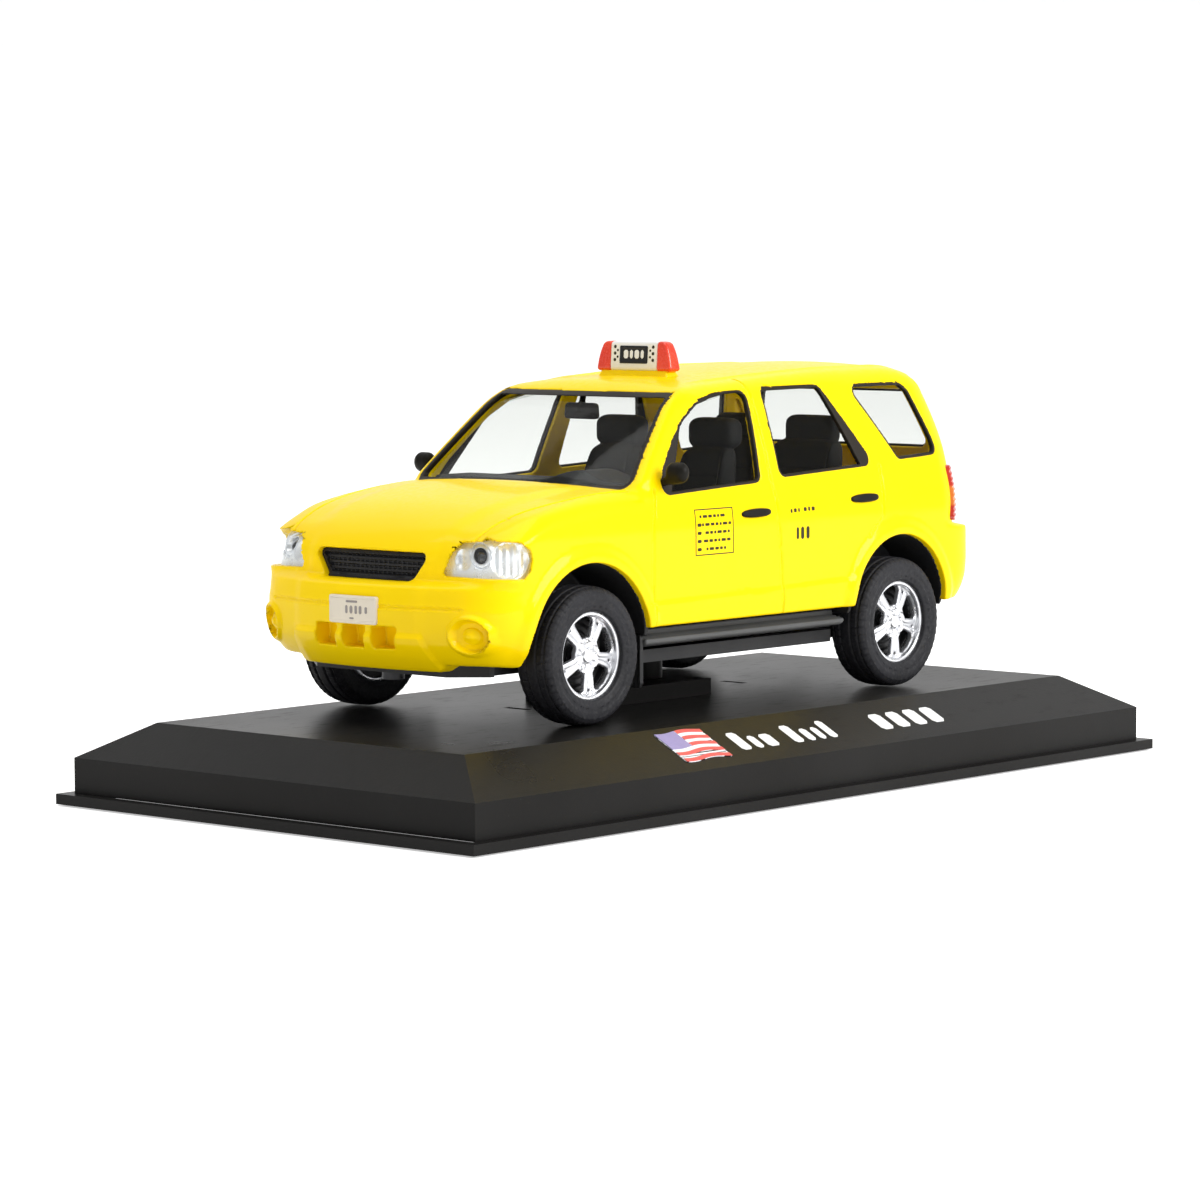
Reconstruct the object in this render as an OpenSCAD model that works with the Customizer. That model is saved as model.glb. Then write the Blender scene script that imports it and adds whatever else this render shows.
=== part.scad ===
// Diecast 1:43 taxi on a display plinth. Millimetres, +Z up.
// Origin: centre of the plinth's underside. The car's nose points to -X, and the
// display front of the plinth, which is the car's left side, faces -Y.

/* [Plinth] */
// Length of the plinth's bottom flange
flange_l = 134.4; // [130:0.1:140]
// Depth of the plinth's bottom flange
flange_w = 70.6; // [68:0.1:74]
// Thickness of the bottom flange, the ledge that a clear cover rests on
flange_h = 1.3; // [1:0.1:1.6]
// Width of that ledge
ledge = 1.6; // [1.2:0.1:2]
// Height of the upright side walls above the surface
wall_top = 5.7; // [5:0.1:6.5]
// Height of the flat top that the car stands on
plinth_h = 10; // [9.5:0.1:11]
// Length of the flat top
top_l = 117.2; // [112:0.1:120]
// Depth of the flat top
top_w = 52; // [50:0.1:56]
// Thickness of the plinth's moulded wall
plinth_wall = 1.6; // [1.2:0.1:1.8]

/* [Car] */
// Sideways place of the car's centreline on the plinth
car_y = 2.5; // [2:0.1:3]
// Place of the front axle along the plinth
front_axle_x = -27.9; // [-28.5:0.1:-27.5]
// Distance between the axles
wheelbase = 60.9; // [60.5:0.1:61.3]
// Radius of the tyres
tyre_r = 8.55; // [8.4:0.05:8.6]
// Width of the tyres
tyre_w = 5.9; // [5.6:0.1:6.1]
// Height of the tyres above the plinth's flat top, so that the wheels turn freely
tyre_lift = 0.1; // [0.05:0.01:0.15]
// Distance from the centreline to the outer face of a tyre
track_half = 21.3; // [21.1:0.1:21.5]
// How far the face of a rim lies inside the outer face of its tyre
rim_inset = 0.9; // [0.7:0.1:1.1]
// Radius of the axle rods
axle_r = 0.75; // [0.7:0.01:0.78]
// Radius of the bearing holes in the chassis
bearing_r = 0.8; // [0.8:0.01:0.85]
// Half of the body's width at the doors
body_half = 20.8; // [20.7:0.1:21]
// Thickness of the diecast body
body_wall = 1.3; // [1.1:0.1:1.4]
// Height of the roof's highest line
roof_z = 52.6; // [52.4:0.1:53]

/* [Fixings] */
// Radius of the screws that hold the car to the plinth
screw_r = 0.8; // [0.7:0.05:0.85]
// Radius of the holes for them
screw_hole_r = 0.9; // [0.88:0.01:1]
// Thickness of the spacer block under the car
pedestal_h = 2.1; // [1.8:0.1:2.4]

/* [Roof sign] */
// Width of the roof sign across the car
sign_w = 12.6; // [12:0.1:13]
// Height of the roof sign
sign_h = 3.9; // [3.6:0.1:4.2]
// Thickness of the roof sign, front to back
sign_d = 2; // [1.8:0.1:2.2]
// Place of the roof sign along the plinth
sign_x = 4.6; // [4:0.1:5]

/* [Hidden] */
$fn = 64;
gap = 0.06;
rear_axle_x = front_axle_x + wheelbase;
axle_z = plinth_h + tyre_lift + tyre_r;
rim_r = 5.5;
chassis_z = plinth_h + pedestal_h + 4.5;
sill_z = 21.3;
screw_xs = [-5.5, 5.5];
chassis_screw_xs = [-41.2, 45.6];
slope_foot_y = -flange_w / 2 + 1.45;
slope_top_y = 0.2 - top_w / 2;
slope_angle = atan((plinth_h - wall_top) / (slope_top_y - slope_foot_y));
// Side profile of the lower body, X and Z
low_side = [
    [-45.5, 17.4], [-47.3, 19.6], [-48.3, 22.4], [-48.3, 25.6], [-46.6, 26.6], [-45.3, 29], [-44.9, 31.9],
    [-43.6, 33.8], [-40, 35.5], [-34, 37], [-27, 38], [-20.5, 38.4], [-14, 37.2], [5.6, 38], [28, 39.2],
    [47.4, 40], [48, 37.5], [48, 31.6], [51.2, 31], [51.2, 26], [50.4, 21.2], [43, 21], [-37.5, sill_z],
    [-39, 18.4]
];
// The same profile one wall thickness in, open at the bottom
low_side_in = [
    [-43.6, 10], [-43.9, 17.6], [-46, 20], [-47, 22.6], [-47, 25], [-45.4, 25.8], [-44, 28.7], [-43.6, 31.4],
    [-42.6, 32.7], [-39.5, 34.2], [-33.6, 35.7], [-26.8, 36.7], [-20.2, 37.1], [-14, 38.5], [5.6, 39], [28, 39.8],
    [46.1, 39.9], [46.7, 37.5], [46.7, 30.5], [49.9, 29.8], [49.9, 10]
];
// Half outlines in plan, X and distance from the centreline, of the bumper level and the lamp level
plan_low = [
    [-48.3, 7], [-47.7, 11.5], [-46.6, 15.4], [-45, 18.1], [-42.4, 19.8], [-38.4, 20.6], [-34, body_half],
    [44, body_half], [47, 20.5], [49, 19.4], [50.3, 17], [51, 12], [51.2, 6]
];
plan_high = [
    [-46, 7], [-45.2, 14.5], [-44, 17.6], [-42, 19.4], [-38.4, 20.5], [-34, body_half],
    [41, body_half], [43.6, 20.4], [45.4, 19.4], [46.8, 17.4], [47.6, 14], [48, 8]
];
// Side profile and cross-section of the glasshouse
cabin_side = [
    [-21.3, 36], [-21.3, 38], [-5.9, 50], [-3, 51.1], [5, 51.6], [17, 52.3], [27, roof_z], [38, roof_z],
    [43.3, 51.9], [45.2, 50.2], [47.4, 40], [47.4, 36]
];
cabin_side_in = [
    [-19.3, 35], [-19.3, 37.9], [-5.2, 48.9], [-2.7, 49.8], [5, 50.3], [17, 51], [27, roof_z - 1.3],
    [37.8, roof_z - 1.3], [42.7, 50.7], [44, 49.4], [46.1, 39.8], [46.1, 35]
];
cabin_half = [[19.9, 36], [19.9, 38], [15.9, 49.6], [15.1, 50.9], [13.2, 51.8], [8, 52.4], [2, roof_z]];
cabin_half_in = [[18.6, 35], [18.5, 38], [14.6, 49.3], [13.9, 50.1], [12.4, 50.5], [7.5, 51.1], [2, roof_z - 1.3]];
// Window openings, X and Z on the sides, distance from the centreline and Z on the ends
front_door_glass = [[-12.6, 37.6], [5.6, 38.3], [6.5, 49.3], [-1.3, 48.4], [-6.8, 45.2]];
rear_door_glass = [[9.7, 38.6], [28, 39.4], [21.4, 49.5], [10, 49.5]];
quarter_glass = [[34.9, 40.2], [42.2, 40.3], [38.8, 49.3], [29.6, 49.5]];
side_windows = [front_door_glass, rear_door_glass, quarter_glass];
screen_half = [[17.7, 39.4], [13, 49.1]];
tailgate_half = [[15.4, 41], [12.8, 48.6]];
lamp_half = [[12.3, 29.1], [13.2, 32.3], [16.5, 33.2], [22, 32.6], [22, 29]];
grille_half = [[7.6, 28.3], [9.8, 31.5]];
tail_lamp_z = [31.3, 38.8];
glass_t = 0.7;
fog_half = 16.6;
fog_z = 23;
fog_splay = 25;

// Outline in X and Z, given a width along Y
module side_prism(outline, width) {
    rotate([90, 0, 0])
        linear_extrude(width, center = true)
            polygon(outline);
}

// Outline in Y and Z, given a length along X from x0 to x1
module end_prism(outline, x0, x1) {
    translate([x0, 0, 0])
        rotate([90, 0, 90])
            linear_extrude(x1 - x0)
                polygon(outline);
}

// A half outline (first coordinate positive) joined to its mirror image
function both_halves(half) = concat(half, [for (i = [len(half) - 1:-1:0]) [-half[i][0], half[i][1]]]);

// A half plan (second coordinate positive) joined to its mirror image
function both_sides(half) = concat(half, [for (i = [len(half) - 1:-1:0]) [half[i][0], -half[i][1]]]);

// A half plan with its sides and ends moved in by d
function plan_in(half, d) = [for (p = half) [p[0] * (1 - d / 48), p[1] - d]];

// An outline drawn in slightly towards its middle
function drawn_in(outline, k = 0.988) =
    let (mid = [for (axis = [0, 1]) (min([for (p = outline) p[axis]]) + max([for (p = outline) p[axis]])) / 2])
    [for (p = outline) mid + (p - mid) * k];

// A strip of thickness t whose outer edge lies d inside the line from a to b
function strip(a, b, d, t) =
    let (along = (b - a) / norm(b - a), inward = [along[1], -along[0]])
    [a + inward * d, b + inward * d, b + inward * (d + t), a + inward * (d + t)];

// Moves a part from the car's centreline to its place on the plinth
module on_car() {
    translate([0, car_y, 0])
        children();
}

// side is -1 for the car's left and 1 for its right
module on_side(side) {
    on_car()
        scale([1, side, 1])
            children();
}

module plinth_block(inset, floor_z, roof) {
    l = [flange_l / 2, flange_l / 2 - ledge - 0.2, top_l / 2];
    w = [flange_w / 2, flange_w / 2 - 1.45, top_w / 2];
    shift = 0.2;
    intersection() {
        side_prism([
            [-l[0] + inset, floor_z], [l[0] - inset, floor_z], [l[0] - inset, flange_h],
            [l[1] - inset, flange_h], [l[1] - inset, wall_top - inset / 2.4], [l[2] - inset / 1.6, roof],
            [-l[2] + inset / 1.6, roof], [-l[1] + inset, wall_top - inset / 2.4], [-l[1] + inset, flange_h],
            [-l[0] + inset, flange_h]
        ], flange_w * 2);
        end_prism([
            [-w[0] + inset, floor_z], [w[0] - inset, floor_z], [w[0] - inset, flange_h],
            [w[1] - inset, flange_h], [w[1] - inset, wall_top - inset / 2.4], [w[2] + shift - inset / 1.6, roof],
            [-w[2] + shift + inset / 1.6, roof], [-w[1] + inset, wall_top - inset / 2.4], [-w[1] + inset, flange_h],
            [-w[0] + inset, flange_h]
        ], -flange_l, flange_l);
    }
}

module plinth() {
    color([0.03, 0.03, 0.03])
        difference() {
            union() {
                difference() {
                    plinth_block(0, 0, plinth_h);
                    plinth_block(plinth_wall, -1, plinth_h - plinth_wall);
                    translate([-flange_l / 2 + ledge + 1.8, -flange_w / 2 + ledge + 1.65, -1])
                        cube([flange_l - 2 * ledge - 3.6, flange_w - 2 * ledge - 3.3, flange_h + 2]);
                }
                on_car()
                    for (x = screw_xs)
                        translate([x, 0, 4.2])
                            cylinder(r = 3, h = plinth_h - 5);
            }
            on_car()
                for (x = screw_xs)
                    translate([x, 0, 0])
                        cylinder(r = screw_hole_r, h = 3 * plinth_h, center = true);
            on_car()
                for (x = [-18.6, 24])
                    translate([x, 0.2, plinth_h])
                        cube([1.1, 4, 4 * plinth_wall], center = true);
        }
}

module pedestal() {
    color([0.04, 0.04, 0.04])
        on_car()
            difference() {
                union() {
                    translate([-9.4, -7.3, plinth_h])
                        cube([19.8, 14.6, pedestal_h]);
                    for (x = screw_xs)
                        translate([x, 0, plinth_h])
                            cylinder(r = 2.4, h = chassis_z - plinth_h);
                }
                for (x = screw_xs)
                    translate([x, 0, 0])
                        cylinder(r = screw_hole_r, h = 3 * plinth_h);
            }
}

module base_screws() {
    color([0.6, 0.6, 0.62])
        on_car()
            for (x = screw_xs)
                translate([x, 0, 2.6])
                    difference() {
                        union() {
                            cylinder(r = 1.8, h = 1.6);
                            cylinder(r = screw_r, h = chassis_z + 3.2 - 2.6);
                        }
                        cube([0.4, 4, 0.8], center = true);
                        cube([4, 0.4, 0.8], center = true);
                    }
}

module emblem_label() {
    color([0.75, 0.2, 0.25])
        translate([-22.3, slope_foot_y, wall_top])
            rotate([slope_angle, 0, 0])
                translate([-4.3, 1.6, 0])
                    cube([8.6, 6.5, 0.12]);
}

module lower_body(outline, low, high) {
    intersection() {
        side_prism(outline, 60);
        union() {
            linear_extrude(31.2)
                polygon(both_sides(low));
            translate([0, 0, 31.2])
                linear_extrude(20)
                    polygon(both_sides(high));
        }
    }
}

module cabin(outline, half) {
    intersection() {
        side_prism(outline, 60);
        end_prism(both_halves(half), -30, 60);
    }
}

module lower_wall() {
    difference() {
        lower_body(low_side, plan_low, plan_high);
        lower_body(low_side_in, plan_in(plan_low, body_wall), plan_in(plan_high, body_wall));
    }
}

module fog_place(side) {
    translate([-45.2, side * fog_half, fog_z])
        rotate([0, 0, -side * fog_splay])
            rotate([0, -90, 0])
                children();
}

module body_shell() {
    color([1, 0.9, 0])
        on_car()
            difference() {
                union() {
                    difference() {
                        union() {
                            lower_body(low_side, plan_low, plan_high);
                            cabin(cabin_side, cabin_half);
                        }
                        lower_body(low_side_in, plan_in(plan_low, body_wall), plan_in(plan_high, body_wall));
                        cabin(cabin_side_in, cabin_half_in);
                    }
                    translate([chassis_screw_xs[0], 0, 18.4])
                        cylinder(r = 2, h = 15.2);
                    translate([chassis_screw_xs[1], 0, 18.4])
                        cylinder(r = 2, h = 7);
                    translate([chassis_screw_xs[1], -1.5, 21.4])
                        cube([4.6, 3, 4]);
                }
                for (x = chassis_screw_xs)
                    translate([x, 0, 17])
                        cylinder(r = 0.7, h = 7);
                translate([front_axle_x - 0.3, 0, axle_z + 0.6])
                    rotate([90, 0, 0])
                        cylinder(r = 10.8, h = 50, center = true);
                translate([rear_axle_x + 0.1, 0, axle_z + 1.8])
                    rotate([90, 0, 0])
                        cylinder(r = 9.9, h = 50, center = true);
                for (window = side_windows)
                    side_prism(window, 60);
                end_prism(both_halves(screen_half), -25, -2);
                end_prism(both_halves(tailgate_half), 40, 55);
                end_prism(both_halves(grille_half), -50, -42);
                for (side = [-1, 1]) {
                    scale([1, side, 1])
                        end_prism(lamp_half, -50, -37.8);
                    scale([1, side, 1])
                        end_prism([[17.6, tail_lamp_z[0]], [22, tail_lamp_z[0]],
                            [22, tail_lamp_z[1]], [18.2, tail_lamp_z[1]]], 43.8, 50);
                    fog_place(side)
                        cylinder(r = 1.6, h = 8, center = true);
                }
                for (y = [-6, 0, 6])
                    translate([-48, y, 21.2])
                        cube([4, 4.4, 2], center = true);
            }
}

module chassis() {
    half = [
        [-43.4, 11], [-40, 15], [-39.4, 15.2], [-39.2, 14], [front_axle_x + 10.8, 14],
        [front_axle_x + 10.85, 17.3], [rear_axle_x - 10.2, 17.3], [rear_axle_x - 10.1, 14],
        [rear_axle_x + 10.1, 14], [rear_axle_x + 10.2, 16], [48, 15]
    ];
    color([0.05, 0.05, 0.05])
        on_car()
            difference() {
                union() {
                    translate([0, 0, chassis_z])
                        linear_extrude(1.6)
                            polygon(both_sides(half));
                    for (x = [front_axle_x, rear_axle_x], side = [-1, 1])
                        translate([x - 2.4, side * 12.4 - 1.4, chassis_z])
                            cube([4.8, 2.8, 4.2]);
                    for (x = screw_xs)
                        translate([x, 0, chassis_z])
                            cylinder(r = 2.2, h = 4);
                    translate([-8, -4, chassis_z + 1])
                        cube([20, 8, 1.4]);
                }
                for (x = [front_axle_x, rear_axle_x])
                    translate([x, 0, axle_z])
                        rotate([90, 0, 0])
                            cylinder(r = bearing_r, h = 40, center = true);
                for (x = screw_xs)
                    translate([x, 0, 0])
                        cylinder(r = screw_hole_r, h = 60);
                for (x = chassis_screw_xs)
                    translate([x, 0, 0])
                        cylinder(r = 0.8, h = 60);
                for (x = [front_axle_x, rear_axle_x])
                    translate([x, 0, axle_z])
                        cube([3.2, 21, 3.2], center = true);
            }
}

module chassis_screws() {
    color([0.6, 0.6, 0.62])
        on_car()
            for (x = chassis_screw_xs)
                translate([x, 0, chassis_z - 1])
                    difference() {
                        union() {
                            cylinder(r = 1.4, h = 1);
                            cylinder(r = 0.65, h = 6.6);
                        }
                        cube([0.35, 3, 0.6], center = true);
                    }
}

module interior_tub() {
    outer = [[-16.6, 13.4], [-16.4, 17.8], [21.6, 17.8], [22.2, 13.4], [42.8, 13.4]];
    floor_z = chassis_z + 4.7;
    color([0.1, 0.1, 0.1])
        on_car()
            difference() {
                translate([0, 0, floor_z])
                    linear_extrude(36.4 - floor_z)
                        polygon(both_sides(outer));
                translate([0, 0, floor_z + 0.8])
                    linear_extrude(20)
                        polygon(both_sides([[-15.8, 12.6], [-15.6, 17], [21.2, 17], [21.7, 12.6], [42, 12.6]]));
            }
}

// A seat with its base, back and headrest, standing on the tub's floor
module seat(width, base_l, back_x) {
    floor_z = chassis_z + 5.5;
    module cushion(l, h, w) {
        side_prism([[0, 0], [l, 0], [l, h * 0.85], [l - 0.8, h], [0.8, h], [0, h * 0.85]], w);
    }
    translate([back_x - base_l, 0, floor_z])
        cushion(base_l, 7.6, width);
    side_prism([
        [back_x - 1.2, floor_z], [back_x + 1.6, floor_z], [back_x + 4.6, 41.2], [back_x + 3.8, 42.4],
        [back_x + 2.6, 42.2], [back_x + 1.4, 40.8]
    ], width);
    side_prism([
        [back_x + 2.6, 41.5], [back_x + 4.6, 41.5], [back_x + 5.4, 45.6], [back_x + 4.6, 46.6],
        [back_x + 3, 46.4], [back_x + 2.4, 45.2]
    ], width * 0.55);
}

module front_seat(side) {
    color([0.09, 0.09, 0.1])
        on_side(side)
            translate([0, 8, 0])
                seat(8.4, 9, 7);
}

module front_seat_left() {
    front_seat(-1);
}

module front_seat_right() {
    front_seat(1);
}

module rear_bench() {
    color([0.09, 0.09, 0.1])
        on_car()
            union() {
                for (y = [-6.2, 6.2])
                    translate([0, y, 0])
                        seat(12, 8, 28);
                translate([22, -1, chassis_z + 5.5])
                    cube([6.4, 2, 6]);
            }
}

module dashboard() {
    color([0.1, 0.1, 0.1])
        on_car()
            difference() {
                side_prism([
                    [-15.5, 29], [-9.4, 29], [-8.2, 33], [-8.4, 36], [-10, 38.2], [-17.2, 38], [-17.4, 36.7],
                    [-15.6, 36.6]
                ], 33.6);
                translate([-9.2, -8, 34])
                    rotate([0, 65, 0])
                        cylinder(r = 0.7, h = 5, center = true);
            }
}

module steering_wheel() {
    color([0.08, 0.08, 0.08])
        on_car()
            translate([-9.2, -8, 34])
                rotate([0, 65, 0])
                    union() {
                        cylinder(r = 0.6, h = 3.4);
                        translate([0, 0, 3])
                            rotate_extrude()
                                translate([3.6, 0])
                                    circle(r = 0.42, $fn = 24);
                        for (a = [0, 120, 240])
                            rotate([0, 0, a])
                                translate([0, -0.35, 2.8])
                                    cube([3.6, 0.7, 0.4]);
                    }
}

module windscreen() {
    color([0.85, 0.9, 0.9, 0.35])
        on_car()
            intersection() {
                side_prism(strip(cabin_side[1], cabin_side[2], 0.3, glass_t), 60);
                end_prism(both_halves([for (p = screen_half) [p[0] - gap, p[1] + (p[1] > 45 ? -gap : gap)]]),
                    -25, -2.1);
            }
}

module tailgate_glass() {
    color([0.8, 0.84, 0.84, 0.35])
        on_car()
            intersection() {
                side_prism(strip(cabin_side[9], cabin_side[10], 0.3, glass_t), 60);
                end_prism(both_halves([for (p = tailgate_half) [p[0] - gap, p[1] + (p[1] > 45 ? -gap : gap)]]),
                    40, 55);
            }
}

// Cross-section of the side wall between two depths inside the outer surface
function wall_band(d0, d1) =
    let (a = cabin_half[1], b = cabin_half[2])
    [[a[0] - d0 + 0.2, a[1] - 0.6], [b[0] - d0, b[1]], [b[0] - d1, b[1]], [a[0] - d1 + 0.2, a[1] - 0.6]];

module side_glazing(side) {
    color([0.8, 0.84, 0.84, 0.35])
        on_side(side)
            union() {
                for (window = side_windows)
                    intersection() {
                        side_prism(drawn_in(window), 60);
                        end_prism(wall_band(0.35, 1.5), -30, 60);
                    }
                intersection() {
                    side_prism([[-9.6, 38.8], [-1, 47.2], [38, 48.6], [42, 40.6]], 60);
                    end_prism(wall_band(1.45, 2.05), -30, 60);
                }
            }
}

module side_glazing_left() {
    side_glazing(-1);
}

module side_glazing_right() {
    side_glazing(1);
}

module headlamp_lens(side) {
    color([0.95, 0.97, 1, 0.5])
        on_side(side)
            intersection() {
                lower_wall();
                end_prism([[12.36, 29.16], [13.25, 32.25], [16.5, 33.14], [22, 32.54], [22, 29.06]], -50, -37.9);
            }
}

module headlamp_lens_left() {
    headlamp_lens(-1);
}

module headlamp_lens_right() {
    headlamp_lens(1);
}

module headlamp_reflector(side) {
    color([0.85, 0.85, 0.87])
        on_side(side)
            difference() {
                translate([-42, 12.6, 29.4])
                    cube([3, 3.6, 2.5]);
                for (y = [13.5, 15.3])
                    translate([-42.5, y, 30.65])
                        rotate([0, 90, 0])
                            cylinder(r = 0.75, h = 2.6);
            }
}

module headlamp_reflector_left() {
    headlamp_reflector(-1);
}

module headlamp_reflector_right() {
    headlamp_reflector(1);
}

module grille_insert() {
    color([0.06, 0.06, 0.07])
        on_car()
            union() {
                end_prism(both_halves([[7.5, 28.37], [9.66, 31.43]]), -44.4, -43.8);
                for (z = [29.1, 29.9, 30.7])
                    translate([-44.8, -7.4, z - 0.15])
                        cube([0.5, 14.8, 0.3]);
            }
}

module front_plate() {
    color([0.95, 0.88, 0.75])
        on_car()
            translate([-48.75, -4.15, 22.9])
                cube([0.45, 8.3, 3.5]);
}

module rear_plate() {
    color([0.95, 0.88, 0.75])
        on_car()
            translate([48, -4.15, 32.4])
                cube([0.4, 8.3, 3.5]);
}

module fog_lamp(side) {
    color([1, 0.85, 0])
        on_car()
            fog_place(side)
                translate([0, 0, -0.9])
                    difference() {
                        cylinder(r = 1.5, h = 1.9);
                        translate([0, 0, 1.2])
                            cylinder(r = 1, h = 2);
                    }
}

module fog_lamp_left() {
    fog_lamp(-1);
}

module fog_lamp_right() {
    fog_lamp(1);
}

module tail_lamp(side) {
    color([0.8, 0.1, 0.05])
        on_side(side)
            intersection() {
                lower_wall();
                end_prism([[17.66, tail_lamp_z[0] + gap], [22, tail_lamp_z[0] + gap],
                    [22, tail_lamp_z[1] - gap], [18.26, tail_lamp_z[1] - gap]], 43.9, 50);
            }
}

module tail_lamp_left() {
    tail_lamp(-1);
}

module tail_lamp_right() {
    tail_lamp(1);
}

module mirror_housing(side) {
    color([0.05, 0.05, 0.05])
        on_side(side)
            union() {
                hull() {
                    translate([-13.2, 21.7, 40.3])
                        sphere(r = 1.15, $fn = 16);
                    translate([-13, 23, 40.4])
                        sphere(r = 1.1, $fn = 16);
                }
                translate([-13.8, 20, 38.9])
                    rotate([30, 0, 0])
                        cube([1, 2.4, 0.9]);
            }
}

module mirror_left() {
    mirror_housing(-1);
}

module mirror_right() {
    mirror_housing(1);
}

module door_handles(side) {
    color([0.05, 0.05, 0.05])
        on_side(side)
            for (place = [[3.4, 34.5], [25.8, 35.3]])
                translate([place[0] - 2.7, body_half, place[1] - 0.6])
                    cube([5.4, 0.5, 1.2]);
}

module door_handles_left() {
    door_handles(-1);
}

module door_handles_right() {
    door_handles(1);
}

module roof_sign_base() {
    color([0.95, 0.8, 0.3])
        on_car()
            translate([sign_x - sign_d / 2 - 0.1, -sign_w / 2 + 0.5, 51.75])
                cube([sign_d + 0.2, sign_w - 1, 0.35]);
}

module roof_sign_body() {
    color([0.95, 0.95, 0.93])
        on_car()
            translate([sign_x - sign_d / 2, -sign_w / 2 + 2.3, 52.1])
                cube([sign_d, sign_w - 4.6, sign_h - 0.2]);
}

module roof_sign_panel() {
    color([0.05, 0.05, 0.05])
        on_car()
            for (face = [-1, 1])
                translate([sign_x + face * (sign_d / 2 + 0.06) - 0.06, -2.4, 53.1])
                    cube([0.12, 4.8, 2.3]);
}

module roof_sign_end_caps() {
    color([0.85, 0.12, 0.05])
        on_car()
            for (side = [-1, 1])
                scale([1, side, 1])
                    end_prism([
                        [sign_w / 2 - 2.3, 52.1], [sign_w / 2, 52.1], [sign_w / 2 - 0.5, 52 + sign_h - 0.8],
                        [sign_w / 2 - 1, 52 + sign_h], [sign_w / 2 - 2.3, 52 + sign_h]
                    ], sign_x - sign_d / 2, sign_x + sign_d / 2);
}

module running_board(side) {
    color([0.06, 0.06, 0.06])
        on_side(side)
            translate([front_axle_x + 10.8, 17.4, 17.9])
                cube([rear_axle_x - front_axle_x - 21.4, 2.6, 3]);
}

module running_board_left() {
    running_board(-1);
}

module running_board_right() {
    running_board(1);
}

module mud_flaps() {
    color([0.08, 0.08, 0.08])
        on_car()
            for (side = [-1, 1])
                scale([1, side, 1])
                    translate([front_axle_x + 10.1, 15.6, 13.8])
                        cube([0.7, 4, 6.6]);
}

module exhaust_pipe() {
    color([0.5, 0.5, 0.52])
        on_car()
            translate([30, 9, chassis_z - 0.8])
                rotate([0, 90, 0])
                    difference() {
                        cylinder(r = 0.75, h = 20.4);
                        translate([0, 0, 16])
                            cylinder(r = 0.5, h = 6);
                    }
}

module axle_rod(x) {
    color([0.65, 0.65, 0.68])
        on_car()
            translate([x, 0, axle_z])
                rotate([90, 0, 0])
                    cylinder(r = axle_r, h = 2 * (track_half - rim_inset - 1.3), center = true);
}

module front_axle_rod() {
    axle_rod(front_axle_x);
}

module rear_axle_rod() {
    axle_rod(rear_axle_x);
}

// A five-spoke rim: a barrel, a face with five windows, and a hub bored for the axle
module rim(x, side) {
    color([0.82, 0.82, 0.85])
        on_side(side)
            translate([x, track_half - rim_inset, axle_z])
                rotate([90, 0, 0])
                    difference() {
                        union() {
                            rotate_extrude()
                                polygon([
                                    [0, 0.3], [1.9, 0], [4.5, 0.5], [5, 0], [rim_r, 0], [rim_r, 4.6], [5, 4.6],
                                    [5, 1.5], [1.4, 1.5], [1.4, 3.8], [0, 3.8]
                                ]);
                        }
                        translate([0, 0, 1.3])
                            cylinder(r = axle_r, h = 10);
                        for (a = [0:72:288])
                            rotate([0, 0, a + 90])
                                linear_extrude(6, center = true)
                                    polygon([[2.1, 0], [4.2, 1.15], [4.55, 0], [4.2, -1.15]]);
                    }
}

// A tyre with rounded shoulders and three tread grooves
module tyre(x, side) {
    color([0.06, 0.06, 0.07])
        on_side(side)
            translate([x, track_half, axle_z])
                rotate([90, 0, 0])
                    rotate_extrude()
                        difference() {
                            polygon([
                                [rim_r, 0.2], [6, 0], [7.6, 0.15], [8.25, 0.6], [tyre_r, 1.2],
                                [tyre_r, tyre_w - 1.2], [8.25, tyre_w - 0.6], [7.6, tyre_w - 0.15],
                                [6, tyre_w], [rim_r, tyre_w - 0.2]
                            ]);
                            for (y = [tyre_w / 2 - 1.3, tyre_w / 2 - 0.2, tyre_w / 2 + 0.9])
                                translate([tyre_r - 0.3, y])
                                    square([1, 0.4]);
                        }
}

module front_rim_left() {
    rim(front_axle_x, -1);
}

module front_rim_right() {
    rim(front_axle_x, 1);
}

module rear_rim_left() {
    rim(rear_axle_x, -1);
}

module rear_rim_right() {
    rim(rear_axle_x, 1);
}

module front_tyre_left() {
    tyre(front_axle_x, -1);
}

module front_tyre_right() {
    tyre(front_axle_x, 1);
}

module rear_tyre_left() {
    tyre(rear_axle_x, -1);
}

module rear_tyre_right() {
    tyre(rear_axle_x, 1);
}

plinth();
pedestal();
base_screws();
emblem_label();
body_shell();
chassis();
chassis_screws();
interior_tub();
front_seat_left();
front_seat_right();
rear_bench();
dashboard();
steering_wheel();
windscreen();
side_glazing_left();
side_glazing_right();
tailgate_glass();
headlamp_lens_left();
headlamp_lens_right();
headlamp_reflector_left();
headlamp_reflector_right();
grille_insert();
front_plate();
rear_plate();
fog_lamp_left();
fog_lamp_right();
tail_lamp_left();
tail_lamp_right();
mirror_left();
mirror_right();
door_handles_left();
door_handles_right();
roof_sign_base();
roof_sign_body();
roof_sign_panel();
roof_sign_end_caps();
running_board_left();
running_board_right();
mud_flaps();
exhaust_pipe();
front_axle_rod();
front_rim_left();
front_rim_right();
front_tyre_left();
front_tyre_right();
rear_axle_rod();
rear_rim_left();
rear_rim_right();
rear_tyre_left();
rear_tyre_right();
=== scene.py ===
import math

import bmesh
import bpy
import numpy as np
from mathutils import Matrix, Vector


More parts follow.
